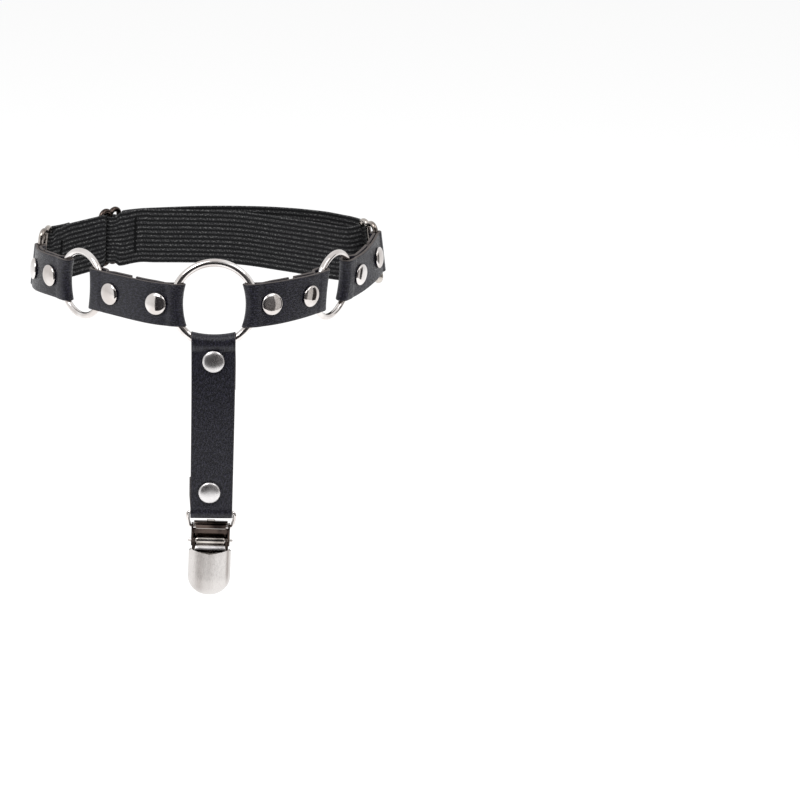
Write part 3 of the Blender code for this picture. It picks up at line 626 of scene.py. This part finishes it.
def fold_inset(fold):
    """How far the wire's centre lies outwards of the strap's middle. It is negative, so inwards."""
    return (fold.share - 1.0) * (fold_radius(fold) - half_gap())


def parting(rise, radius):
    """Points from the flat layer up to the top of the bulge, which lies at x = 0: an incline, then an arc."""
    slope = min(math.radians(FOLD_SLOPE), math.acos(1 - 0.5 * rise / radius))
    rest = rise - radius * (1 - math.cos(slope))
    foot = -radius * math.sin(slope) - rest / math.tan(slope)
    turn = np.linspace(slope, 0.0, 9)
    arc = np.c_[-radius * np.sin(turn), rise - radius * (1 - np.cos(turn))]
    return np.concatenate([[(foot, 0.0)], arc])


def fold_end(fold):
    """Middle line of a fold round a wire at 0, from outer to inner layer: x runs to the tip, y outwards."""
    flat = half_gap()
    radius = fold_radius(fold)
    inset = fold_inset(fold)
    outer = parting(radius + inset - flat, radius)
    inner = parting(radius - inset - flat, radius)[::-1]
    turn = np.linspace(np.pi / 2, -np.pi / 2, 25)
    arc = np.c_[fold.reach - LEATHER / 2 - radius + radius * np.cos(turn), inset + radius * np.sin(turn)]
    return np.concatenate([outer + (0.0, flat), arc, inner * (1.0, -1.0) - (0.0, flat)])


# How far the corners of a fold stand out to follow a ring's wire, and how far the fold lies from the ring's
# middle, as a share of half the strap's width
Bow = namedtuple("Bow", "out aside")
STRAIGHT = (Bow(0.0, 0.0), Bow(0.0, 0.0))


def cupped(s, length, across, cups):
    """How far a strap's corners stand out, near its first and its last fold."""
    return (cups[0].out * smoothstep((3.0 - s) / 4.0) * (across + cups[0].aside) ** 2
            + cups[1].out * smoothstep((s - length + 3.0) / 4.0) * (across + cups[1].aside) ** 2)


def bowed(s, length, across, first, last, cups):
    """How far along the strap its corners lie, near its first and its last fold."""
    near_first = smoothstep((3.0 - s) / (3.0 + first.reach - LEATHER / 2 - fold_radius(first)))
    near_last = smoothstep((s - length + 3.0) / (3.0 + last.reach - LEATHER / 2 - fold_radius(last)))
    return (near_last * last.hollow * (across + cups[1].aside) ** 2
            - near_first * first.hollow * (across + cups[0].aside) ** 2)


def folded_strap(name, route, first, last, widths, look, ends, rivets, cups, slips):
    """A leather strip folded back inside at both ends, its cross-section carried along its middle line.

    Each point lies at (s, t) of the middle line, moved along the line's normal by its height in the section,
    and at its place across the strip. The corners of a fold reach a little further than its middle does.
    """
    start = fold_end(first)[::-1] * (-1.0, 1.0)
    finish = fold_end(last) + (route.length, 0.0)
    ends = ends or (route.length / 2 - TAIL_GAP / 2, route.length / 2 + TAIL_GAP / 2)
    line = np.concatenate([[(ends[0], -half_gap())], start, finish, [(ends[1], -half_gap())]])
    line = softened(line, 0.45, 0.42)
    ahead = tangents(line)
    normal = np.c_[-ahead[:, 1], ahead[:, 0]]
    gone = lengths(line)
    section = rounded_section(LEATHER / 2, 0.34, 16)
    across, inset, height, mark = (section[:, axis][None, :] for axis in range(4))
    cup = cupped(line[:, :1], route.length, across, cups)
    bow = bowed(line[:, :1], route.length, across, first, last, cups)
    s = line[:, :1] + height * normal[:, :1]
    t = line[:, 1:] + height * normal[:, 1:] + cup
    s = s + bow
    half_width = np.interp(s, (0.0, route.length), widths) / 2
    # The inner layer doesn't lie quite under the outer one
    inner = (line[:, 1:] < 0) * smoothstep(line[:, :1] / 9.0) * smoothstep((route.length - line[:, :1]) / 9.0)
    w = (half_width - inset) * across + np.where(line[:, :1] < route.length / 2, *slips) * inner
    outside = (line[:, 1:] > 0) & (height > 0)
    for length, aside in rivets:
        # The leather sinks a little round each cap
        apart = np.hypot(s - length, w - aside)
        t = t - outside * CAP_DIP * smoothstep((CAP_RADIUS + DIP_REACH - apart) / 3.0)
    worn = np.broadcast_to(mark, s.shape).copy()
    worn[0], worn[-1] = 1.0, 1.0
    around = lengths(section[:, [0, 2]] * (widths[0] / 2, 1.0))
    piece(name + "_leather", shell(route.at(s, t, w), False, gone, around, worn), look, "band", name)


def strap_route(strap):
    """The strap's middle line, and how the corners of its two folds stand out to follow the rings' wire."""
    ends = []
    cups = []
    for name, reach, rise, turn, fold in (strap[:5], strap[5:10]):
        centre, along, up = axes_of(HARDWARE[name])
        way = compass(HARDWARE[name].heading + turn)
        place = centre + reach * along + rise * up
        out = away_from_leg(np.cross(way, up), place)
        ends.append((place - fold_inset(FOLDS[fold]) * out, way, up))
        curve = abs(reach) - math.sqrt(reach ** 2 - strap.width ** 2 / 4) if "ring" in name else 0.0
        cups.append(Bow(-curve * math.copysign(1.0, reach) * np.dot(along, out), 2 * rise / strap.width))
    (begin, way, up), (finish, last_way, last_up) = ends
    line = bezier(begin, way, finish, last_way)
    line[:, 2] += strap.lift * np.sin(np.linspace(0.0, np.pi, len(line))) ** 2
    return Route(line, up, last_up), cups


def riveted(name, route, first, last, widths, spots, leather, nickel, ends=None, cups=STRAIGHT,
            slips=INNER_SLIPS):
    rivets = [(length, aside) for _, length, aside in spots]
    folded_strap(name, route, first, last, widths, leather, ends, rivets, cups, slips)
    for rivet_name, length, aside in spots:
        centre = route.at(length, 0.0, aside)
        rivet(rivet_name, centre, route.at(length, 1.0, aside) - centre, nickel)


def drop_route():
    lean = math.radians(DROP_LEAN)
    across = np.array([math.cos(lean), 0.0, -math.sin(lean)])
    down = np.array([-math.sin(lean), 0.0, -math.cos(lean)])
    centre, along, up = axes_of(HARDWARE["centre_ring"])
    front = away_from_leg(np.cross(along, up), centre)
    begin = centre + DROP_ASIDE * along - CENTRE_RING_RADIUS * up - fold_inset(FOLDS["centre_bottom"]) * front
    finish = begin + DROP_LENGTH * down + (0.0, -1.6, 0.0)
    return Route(bezier(begin, -up, finish, down), along, across)


def straps(leather, nickel, soft_nickel):
    for side, strap in STRAPS.items():
        route, cups = strap_route(strap)
        first, last = FOLDS[strap.fold], FOLDS[strap.end_fold]
        spots = ((side + "_rivet_a", first.rivet - first.reach, 0.0),
                 (side + "_rivet_b", route.length - last.rivet + last.reach, 0.0))
        widths = (strap.width, strap.width)
        riveted(side + "_strap", route, first, last, widths, spots, leather, nickel, cups=cups)
    route = drop_route()
    first, last = FOLDS["centre_bottom"], FOLDS["clip"]
    spots = (("drop_rivet_upper", first.rivet - first.reach, 0.0),
             ("drop_rivet_lower", route.length - last.rivet + last.reach, DROP_RIVET_ASIDE))
    riveted("drop_strap", route, first, last, DROP_WIDTHS, spots, leather, soft_nickel,
            ends=(DROP_TOP_TAIL, route.length - DROP_FOOT_TAIL),
            cups=(Bow(0.0, 2 * DROP_ASIDE / DROP_WIDTHS[0]), STRAIGHT[1]), slips=DROP_SLIPS)


# The elastic

def path_round(name, bar, radius, first, last, steps):
    """Arc round a bar of a slide. Angles are measured from the slide's heading towards the leg."""
    centre, along, up = axes_of(HARDWARE[name])
    inward = -away_from_leg(np.cross(along, up), centre)
    angle = np.radians(np.linspace(first, last, 3 * steps + 1))[:, None]
    return centre + (bar + radius * np.cos(angle)) * along + radius * np.sin(angle) * inward


def through(points, first_way, last_way):
    """A smooth path through points, with its directions at the two ends given."""
    points = np.asarray(points, float)
    ways = unit([first_way, *(points[2:] - points[:-2]), last_way])
    pieces = []
    for index in range(len(points) - 1):
        made = bezier(points[index], ways[index], points[index + 1], ways[index + 1], count=16)
        pieces.append(made[1:] if index else made)
    return np.concatenate(pieces)


def ends_way(path):
    return unit(path[1] - path[0]), unit(path[-1] - path[-2])


def elastic_path():
    """The whole strip from its sewn end at the adjuster to its sewn end at the left slide."""
    layer = ELASTIC + ELASTIC_CLEAR
    near = SLIDE_WIRE + ELASTIC_CLEAR + ELASTIC / 2
    internal = math.degrees(math.acos((2 * near + layer) / BAR_PITCH))
    external = math.degrees(math.acos(2 * layer / BAR_PITCH))
    side = 180.0 - internal
    flap = path_round("adjuster", BAR_PITCH, near + layer, 90.0, side, 4)
    flap_round = path_round("adjuster", 0.0, near, side - 180.0, -180.0 - external, 8)
    over = path_round("adjuster", BAR_PITCH, near + 2 * layer, 180.0 - external, 90.0, 3)
    flap_start = through([FLAP_END, flap[0]], flap[0] - np.array(FLAP_END), flap[1] - flap[0])[:-1]
    link = path_round("right_slide", BAR_PITCH, near, 217.0, 277.0, 4)
    back_in = path_round("adjuster", BAR_PITCH, near, 90.0, side, 3)
    back_round = path_round("adjuster", 0.0, near + layer, side - 180.0, -side, 6)
    back_out = path_round("adjuster", -BAR_PITCH, near, 180.0 - side, 90.0, 3)
    last = path_round("left_slide", BAR_PITCH, near, 126.0, 306.0, 8)
    inner = through([over[-1], *INNER_LAYER, link[0]], ends_way(over)[1], ends_way(link)[0])
    outer = through([link[-1], *OUTER_LAYER, back_in[0]], ends_way(link)[1], ends_way(back_in)[0])
    single = through([back_out[-1], *SINGLE_LAYER, last[0]], ends_way(back_out)[1], ends_way(last)[0])
    sewn = single[-18]
    ahead = unit(single[-17] - sewn)
    beside = away_from_leg(np.cross(ahead, (0.0, 0.0, 1.0)), sewn)
    tail = through([last[-1], sewn + (layer + 0.1) * beside], ends_way(last)[1], -ahead)
    return np.concatenate([flap_start, flap, flap_round, over, inner[1:-1], link, outer[1:-1], back_in,
                           back_round, back_out, single[1:-1], last, tail[1:]])


def elastic_frames(path):
    """At each point of the strip: its upright direction, its normal and its half width."""
    share_sum = np.zeros((len(path), 1))
    ups = np.zeros((len(path), 3))
    narrow = np.zeros((len(path), 1))
    for name in ("left_slide", "adjuster", "right_slide"):
        centre, along, up = axes_of(HARDWARE[name])
        inward = -away_from_leg(np.cross(along, up), centre)
        apart = np.linalg.norm(path - centre, axis=1)[:, None]
        weight = smoothstep((22.0 - apart) / 14.0)
        ups += weight * up
        share_sum += weight
        beside = np.abs((path - centre) @ along)[:, None]
        beyond = np.abs((path - centre) @ inward)[:, None]
        narrow = np.maximum(narrow, smoothstep((6.4 - beside) / 1.6) * smoothstep((4.2 - beyond) / 1.4))
    ups = unit(ups + (1.0 - np.minimum(share_sum, 1.0)) * np.array((0.0, 0.0, 1.0)))
    normal = unit(np.cross(tangents(path), ups))
    half_width = (ELASTIC_WIDTH + (ELASTIC_NARROW - ELASTIC_WIDTH) * narrow) / 2
    return ups, normal, half_width


def elastic(look, thread):
    """A flat strip with ribs on both faces: their height follows the sine of the place across the strip."""
    path = softened(elastic_path(), 0.75, 0.30)
    ups, normal, half_width = elastic_frames(path)
    over = np.linspace(-1.0, 1.0, RIBS * STEPS_PER_RIB + 1)
    rib = RIB_HEIGHT * np.abs(np.sin(np.pi * RIBS * (over + 1) / 2)) ** 0.75
    height = ELASTIC / 2 - RIB_HEIGHT + rib
    height[[0, -1]] = EDGE_HALF_THICKNESS
    across = np.concatenate([over, over[::-1]])
    height = np.concatenate([height, -height[::-1]])
    grid = (path[:, None, :] + height[None, :, None] * normal[:, None, :]
            + (across[None, :, None] * half_width[:, :, None]) * ups[:, None, :])
    gone = lengths(path)
    place = np.concatenate([over, over[::-1] * -1 + 2.0]) * ELASTIC_WIDTH / 2
    piece("ribbed_elastic", shell(grid, False, gone, place), look, "band", "elastic_band", sharp=70.0)
    # Rows of stitches on the leg's side of the strip
    for name, x, low, high in STITCH_ROWS:
        near = np.flatnonzero((np.abs(path[:, 0] - x) < 0.6) & (path[:, 1] > 0))
        at = near[np.argmin(path[near, 1])]
        side = -math.copysign(1.0, normal[at] @ (path[at] * (1.0, 1.0, 0.0)))
        stitched = np.linspace(low, high, 110)
        lift = ELASTIC / 2 + 0.06 + 0.12 * np.cos(stitched * 40)
        sway = 0.25 * np.sin(stitched * 57)
        line = (path[at] + (stitched * half_width[at])[:, None] * ups[at]
                + (side * lift)[:, None] * normal[at] + sway[:, None] * np.cross(ups[at], normal[at]))
        piece(name, wire(line, STITCH_RADIUS, 10, side_hint=normal[at], ends=0.2), thread, "band")


# The clip

def clip_axes():
    """Origin at the loop's bar, then the clip's across, front and up."""
    route = drop_route()
    lean = math.radians(CLIP_LEAN)
    across = np.array([math.cos(lean), 0.0, -math.sin(lean)])
    up = np.array([math.sin(lean), 0.0, math.cos(lean)])
    origin = route.at(route.length + LOOP_BAR_DROP, fold_inset(FOLDS["clip"]), 0.0)
    return origin, across, np.array([0.0, -1.0, 0.0]), up


def clip_points(local):
    """World points of clip-local ones (across, front, up) from the loop's bar."""
    origin, across, front, up = clip_axes()
    local = np.asarray(local, float)
    return origin + local[..., :1] * across + local[..., 1:2] * front + local[..., 2:3] * up


def stamped(outline, holes, low, high):
    """Points and faces of a sheet with round holes, cut in the front-up plane and pulled across the clip."""
    loops = [np.asarray(outline, float)]
    for radius, forward, height in holes:
        angle = 2 * np.pi * np.arange(28) / 28
        loops.append(np.c_[forward + radius * np.cos(angle), height - radius * np.sin(angle)])
    flat = np.concatenate(loops)
    triangles = tessellate_polygon([[Vector((*point, 0.0)) for point in loop] for loop in loops])
    count = len(flat)
    points = np.concatenate([np.insert(flat, 0, low, axis=1), np.insert(flat, 0, high, axis=1)])
    faces = [list(face) for face in triangles]
    faces += [[index + count for index in face[::-1]] for face in triangles]
    start = 0
    for loop in loops:
        size = len(loop)
        faces += [[start + i, start + (i + 1) % size, start + (i + 1) % size + count, start + i + count]
                  for i in range(size)]
        start += size
    return clip_points(points), faces


def rounded_outline(corners, radius, steps=5):
    """A polygon with each corner turned into an arc-like curve of about that radius."""
    corners = np.asarray(corners, float)
    made = []
    for before, corner, after in zip(np.roll(corners, 1, 0), corners, np.roll(corners, -1, 0)):
        back, ahead = before - corner, after - corner
        reach = min(radius, 0.45 * np.linalg.norm(back), 0.45 * np.linalg.norm(ahead))
        first, last = corner + reach * unit(back), corner + reach * unit(ahead)
        u = np.linspace(0.0, 1.0, steps)[:, None]
        made.append((1 - u) ** 2 * first + 2 * u * (1 - u) * corner + u * u * last)
    return np.concatenate(made)


def formed_sheet(line, half_widths, thickness, corner=0.2):
    """A strip of sheet metal bent along a line of (front, up), with its half width given along the line."""
    line = np.asarray(line, float)
    gone = lengths(line)
    ahead = tangents(line)
    normal = np.c_[-ahead[:, 1], ahead[:, 0]]
    section = rounded_section(thickness / 2, corner, 8)
    across, inset, height, mark = (section[:, axis][None, :] for axis in range(4))
    half = np.interp(gone / gone[-1], *zip(*half_widths))[:, None]
    local = np.stack([(half - inset) * across,
                      line[:, :1] + height * normal[:, :1],
                      line[:, 1:] + height * normal[:, 1:]], axis=-1)
    worn = np.broadcast_to(mark, local.shape[:2]).copy()
    worn[-1] = 1.0
    return shell(clip_points(local), False, gone, section[:, 0] * 5.0, worn)


def clip_loop(look):
    path = [(9.9, 0.0), (10.5, -0.4), (10.75, -1.2), (10.7, -2.4), (10.25, -4.6), (10.05, -5.8), (9.6, -6.7),
            (8.9, -7.0), (6.9, -7.0)]
    path = [(x, 0.0, z) for x, z in path]
    path = np.array([(-x, y, z) for x, y, z in path[::-1]] + path)
    path = softened(path, 0.3, 0.35)
    piece("clip_loop_wire", wire(clip_points(path), LOOP_WIRE, 18, side_hint=(0.0, 1.0, 0.0), ends=0.25),
          look, "loop", "clip_loop")


def clip_frame(look):
    """The back plate runs up from its round foot, bends over at the top and turns down as a short lip."""
    back = BACK_OF_FRAME + SHEET / 2
    line = [(back, -38.0), (back, -34.0), (back, -20.0), (back, -6.1), (back + 0.5, -5.0),
            (back + 1.4, -4.55), (1.4, -4.5), (2.0, -4.85), (2.05, -5.7), (1.75, -7.3)]
    line = softened(line, 0.3, 0.3)
    foot = [(0.0, 0.3), (0.004, 1.6), (0.012, 2.9), (0.03, 4.3), (0.06, 5.7), (0.10, 6.7), (0.14, 7.2),
            (0.40, 7.2), (0.48, 8.4), (0.74, 8.6), (0.80, 7.9), (0.92, 7.7), (1.0, 6.7)]
    back_plate = formed_sheet(line, foot, SHEET)
    tab = formed_sheet([(0.6, -4.7), (0.6, -4.0), (0.6, -3.3)], [(0.0, 2.3), (1.0, 1.9)], SHEET)
    piece("clip_frame_plate", [back_plate, tab], look, "clip", "clip_frame")
    ear = rounded_outline([(BACK_OF_FRAME + 0.1, -5.6), (1.2, -5.6), (2.1, -6.8), (2.1, -14.6), (1.1, -16.2),
                           (BACK_OF_FRAME + 0.1, -17.0)], 0.7)
    holes = ((LOOP_WIRE + HOLE_CLEAR, 0.0, -LOOP_DROP), (PIN_RADIUS + HOLE_CLEAR, PIN_FORWARD, -PIN_DROP))
    for side, name in ((1, "right_ear"), (-1, "left_ear")):
        low, high = sorted((side * EAR_INSIDE, side * (EAR_INSIDE + SHEET)))
        loose_piece("clip_" + name, *stamped(ear, holes, low, high), look, "clip", bevel=0.12)


def clip_pin(nickel, nickel_painted_half_shade):
    across = clip_axes()[1]
    centre = clip_points((0.0, PIN_FORWARD, -PIN_DROP))
    turn = np.radians(np.linspace(85, 0, 6))
    end = [(PIN_RADIUS * math.cos(a), PIN_HALF_LENGTH - PIN_DOME + PIN_DOME * math.sin(a)) for a in turn]
    profile = [(r, -h) for r, h in end] + end[::-1]
    piece("clip_pin_rod", turned(profile, centre, across, 28), nickel, "clip", "clip_pin")
    half = ARM_INSIDE - 0.4
    bore = PIN_RADIUS + 0.15
    round_off = 0.15
    tube = [(bore, -half), (BARREL_RADIUS - round_off, -half), (BARREL_RADIUS, -half + round_off)]
    tube += [(radius, -height) for radius, height in tube[::-1]]
    made = turned(resampled(tube, 0.5), centre, across, 48)
    piece("clip_barrel_tube", shell(made.grid, True), nickel_painted_half_shade, "clip", "clip_barrel")


def jaw_surface(inset, rows, columns):
    """The shield's outer face, or the face that lies that far inside it.

    It is a rounded box seen from the front, crowned along its middle. Its height falls to the rim as the
    square root of one less a power of the distance from the middle.
    """
    half = JAW_HALF_WIDTH - inset
    bend = JAW_FOOT + JAW_BEND
    depth = JAW_BEND - inset
    straight = np.linspace(JAW_TOP, bend, rows // 2)[:-1]
    foot = bend - depth * np.sin(np.radians(np.linspace(0, 89, rows - len(straight))))
    height = np.concatenate([straight, foot])[:, None]
    u = np.sin(np.radians(np.linspace(-90.0, 90.0, columns)))[None, :]
    below = np.maximum(0.0, bend - height) / depth
    x = u * half * np.sqrt(1.0 - below ** 2)
    edge = np.hypot(x / half, below)
    forward = JAW_RIM + (JAW_CROWN - inset - JAW_RIM) * np.sqrt(np.maximum(0.0, 1.0 - edge ** JAW_BOXINESS))
    notch = (JAW_NOTCH * np.maximum(0.0, 1.0 - np.abs(x) / NOTCH_HALF_WIDTH)
             + CORNER_DROP * np.maximum(0.0, np.abs(x) - CORNER_START) ** 2)
    lowered = height - notch * np.maximum(0.0, 1.0 - (JAW_TOP - height) / NOTCH_FADE)
    return np.stack([x, forward, lowered], axis=-1)


def shield_painted_reflection(points):
    """Painted reflection on the satin, 0 to 1: a dark patch left of the middle and a dark stripe near the right
    edge.

    Each is a bell curve of the place across the shield, fading out towards the round foot.
    """
    across = points[..., 0] / JAW_HALF_WIDTH
    down = (JAW_TOP - points[..., 2]) / (JAW_TOP - JAW_FOOT)
    fade = np.clip((1.0 - down) / 0.22, 0.0, 1.0)
    # hollow is a painted dark patch, not a dent in the shield's shape
    hollow = 0.58 * np.exp(-((across + 0.46) / 0.27) ** 2)
    hollow = hollow + 0.42 * np.exp(-((across - 0.02) / 0.20) ** 2) * (1.0 - 0.6 * down)
    stripe = 0.85 * np.exp(-((across - 0.84) / 0.07) ** 2) * np.clip((0.8 - down) / 0.3, 0.0, 1.0)
    return np.clip(hollow * fade + stripe, 0.0, 1.0)


def clip_jaw(satin, dark, soft_nickel):
    """The shield, closed round its rim, with the neck and the two arms that hold it on the pin."""
    outer, inner = jaw_surface(0.0, 60, 49), jaw_surface(SHEET, 60, 49)
    section = np.concatenate([outer, inner[:, ::-1]], axis=1)
    # The edge values carry the painted reflection, which darkens the satin shield
    made = shell(clip_points(section), edge=shield_painted_reflection(section))
    piece("clip_shield", made, satin, "jaw", "clip_jaw", sharp=30.0)
    angle = np.radians(np.linspace(35, 200, 18))
    arm = [(PIN_FORWARD + ARM_RADIUS * math.cos(a), -PIN_DROP + ARM_RADIUS * math.sin(a)) for a in angle]
    arm += [(-1.2, -15.8), (0.2, -20.6), (1.2, -20.6), (1.5, -18.2), (1.7, -15.4)]
    holes = ((PIN_RADIUS + HOLE_CLEAR, PIN_FORWARD, -PIN_DROP),)
    # Painted shade: the arms and the neck take the near-black nickel, for the shade behind the shield.
    for side, name in ((1, "right_arm"), (-1, "left_arm")):
        low, high = sorted((side * ARM_INSIDE, side * (ARM_INSIDE + ARM_SHEET)))
        loose_piece("clip_" + name, *stamped(arm, holes, low, high), dark, "jaw", bevel=0.1)
    neck = softened([(0.45, -16.1), (1.0, -16.1), (1.5, -17.2), (1.8, -18.6), (1.8, -20.4)], 0.25, 0.3)
    piece("clip_neck", formed_sheet(neck, [(0.0, 7.2), (1.0, 7.0)], 0.7), dark, "jaw")
    ridge = softened([(0.6, -15.7), (1.6, -16.0), (2.5, -16.9), (2.7, -17.5)], 0.2, 0.3)
    piece("clip_neck_ridge", formed_sheet(ridge, [(0.0, 6.8), (1.0, 7.0)], 0.45), soft_nickel, "jaw")


# Studio, in metres

FLOOR = -0.32
# Name, first and last compass angle, distance, bottom, top and colour of each card
CARDS = (("room_left", -42, 10, 0.70, -0.30, 0.44, (0.040, 0.038, 0.040)),
         ("room_right", 10, 52, 0.70, -0.30, 0.44, (0.115, 0.110, 0.110)),
         ("grey_wall", 52, 86, 0.72, -0.30, 0.60, (0.50, 0.49, 0.48)),
         ("dark_post", 86, 105, 0.70, -0.31, 0.16, (0.035, 0.033, 0.033)))
# Name, place, size and power of each lamp
LAMPS = (("key", (-0.7, -0.9, 1.3), 0.9, 14.0), ("fill", (0.9, -0.5, 0.9), 0.8, 5.0))
PICTURE_SIZE, MIDDLE_COLUMN = 800.0, 211.0  # in pixels: the width, and where the part's middle stands


def stage_plane(name, corners, colour, seen=True):
    mesh = bpy.data.meshes.new(name)
    mesh.from_pydata(corners, [], [(0, 1, 2, 3)])
    made = bpy.data.objects.new(name, mesh)
    look = Look(name)
    mesh.materials.append(look.finish(Base_Color=colour, Roughness=1.0, Specular_IOR_Level=0.0))
    bpy.context.scene.collection.objects.link(made)
    if not seen:
        made.visible_camera = False
        made.visible_diffuse = False
        made.visible_shadow = False
    return made


def level_plane(name, x_range, y_range, height, colour, seen=True):
    (left, right), (front, back) = x_range, y_range
    corners = [(left, front, height), (right, front, height), (right, back, height), (left, back, height)]
    return stage_plane(name, corners, colour, seen)


def upright_card(name, first, last, reach, bottom, top, colour):
    """A flat card that stands round the part between two compass angles, seen only in reflections.

    Angle 0 is towards the viewer and 90 to the right.
    """
    a, b = math.radians(first), math.radians(last)
    foot = [(reach * math.sin(a), -reach * math.cos(a)), (reach * math.sin(b), -reach * math.cos(b))]
    corners = [(*foot[0], bottom), (*foot[1], bottom), (*foot[1], top), (*foot[0], top)]
    return stage_plane(name, corners, colour, seen=False)


def studio():
    """A white tent with a dark room in front of it, as the polished metal shows it."""
    level_plane("floor", (-30.0, 30.0), (-30.0, 30.0), FLOOR, (0.97, 0.97, 0.97))
    for card in CARDS:
        upright_card(*card)
    level_plane("gap_above", (-0.25, 0.25), (-0.95, -0.60), 0.85, (0.03, 0.028, 0.028), seen=False)
    world = bpy.data.worlds.new("studio")
    bpy.context.scene.world = world
    world.use_nodes = True
    world.node_tree.nodes["Background"].inputs["Color"].default_value = (1.0, 1.0, 1.0, 1.0)
    world.node_tree.nodes["Background"].inputs["Strength"].default_value = 0.95
    for name, place, size, power in LAMPS:
        lamp = bpy.data.lights.new(name, "AREA")
        lamp.energy = power
        lamp.size = size
        made = bpy.data.objects.new(name, lamp)
        made.location = place
        made.rotation_euler = (Vector((0, 0, -0.04)) - Vector(place)).to_track_quat("-Z", "Y").to_euler()
        bpy.context.scene.collection.objects.link(made)
    bpy.context.scene.view_settings.view_transform = "Standard"


def camera():
    """Seen from 18 degrees above, with the part left of the picture's middle."""
    elevation, distance, focal_pixels = math.radians(18.0), 1.2, 2640.0
    target = Vector((-0.0015, -0.0615, -0.045))
    back = Vector((0.0, -math.cos(elevation), math.sin(elevation)))
    yaw = math.atan((PICTURE_SIZE / 2 - MIDDLE_COLUMN) / focal_pixels)
    straight, right = -back, Vector((1.0, 0.0, 0.0))
    up = right.cross(straight)
    forward = straight * math.cos(yaw) + right * math.sin(yaw)
    right = forward.cross(up)
    made = bpy.data.objects.new("camera", bpy.data.cameras.new("camera"))
    made.data.sensor_width = 36.0
    made.data.lens = focal_pixels / PICTURE_SIZE * made.data.sensor_width
    turn = Matrix((right, up, -forward)).transposed().to_4x4()
    made.matrix_world = Matrix.Translation(target + back * distance) @ turn
    bpy.context.scene.collection.objects.link(made)
    bpy.context.scene.camera = made


def main():
    leather = leather_look()
    nickel = nickel_look("polished_nickel", (0.80, 0.77, 0.755), (0.60, 0.555, 0.53), 0.07)
    # Painted shade: both are darker than nickel plate, for the dark reflections on slides, barrel, adjuster and
    # clip.
    nickel_painted_half_shade = nickel_look("nickel_painted_half_shade", (0.62, 0.58, 0.54), (0.22, 0.19, 0.17), 0.12)
    nickel_painted_deep_shade = nickel_look("nickel_painted_deep_shade", (0.10, 0.075, 0.064), (0.016, 0.012, 0.011), 0.12)
    soft_nickel = nickel_look("soft_nickel", (0.74, 0.72, 0.72), (0.60, 0.58, 0.58), 0.27)
    satin = satin_look()
    ring("centre_ring", CENTRE_RING_RADIUS, CENTRE_WIRE, nickel)
    for name in ("left_side_ring", "right_side_ring"):
        ring(name, SIDE_RING_RADIUS, SIDE_WIRE, nickel)
    for name in ("left_slide", "right_slide"):
        slide(name, nickel_painted_half_shade)
    slide("adjuster", nickel_painted_deep_shade, ADJUSTER_FOOT_LIFT)
    straps(leather, nickel, soft_nickel)
    elastic(elastic_look(), thread_look())
    clip_loop(nickel)
    clip_frame(nickel_painted_deep_shade)
    clip_pin(nickel, nickel_painted_half_shade)
    clip_jaw(satin, nickel_painted_deep_shade, soft_nickel)
    studio()
    camera()


main()
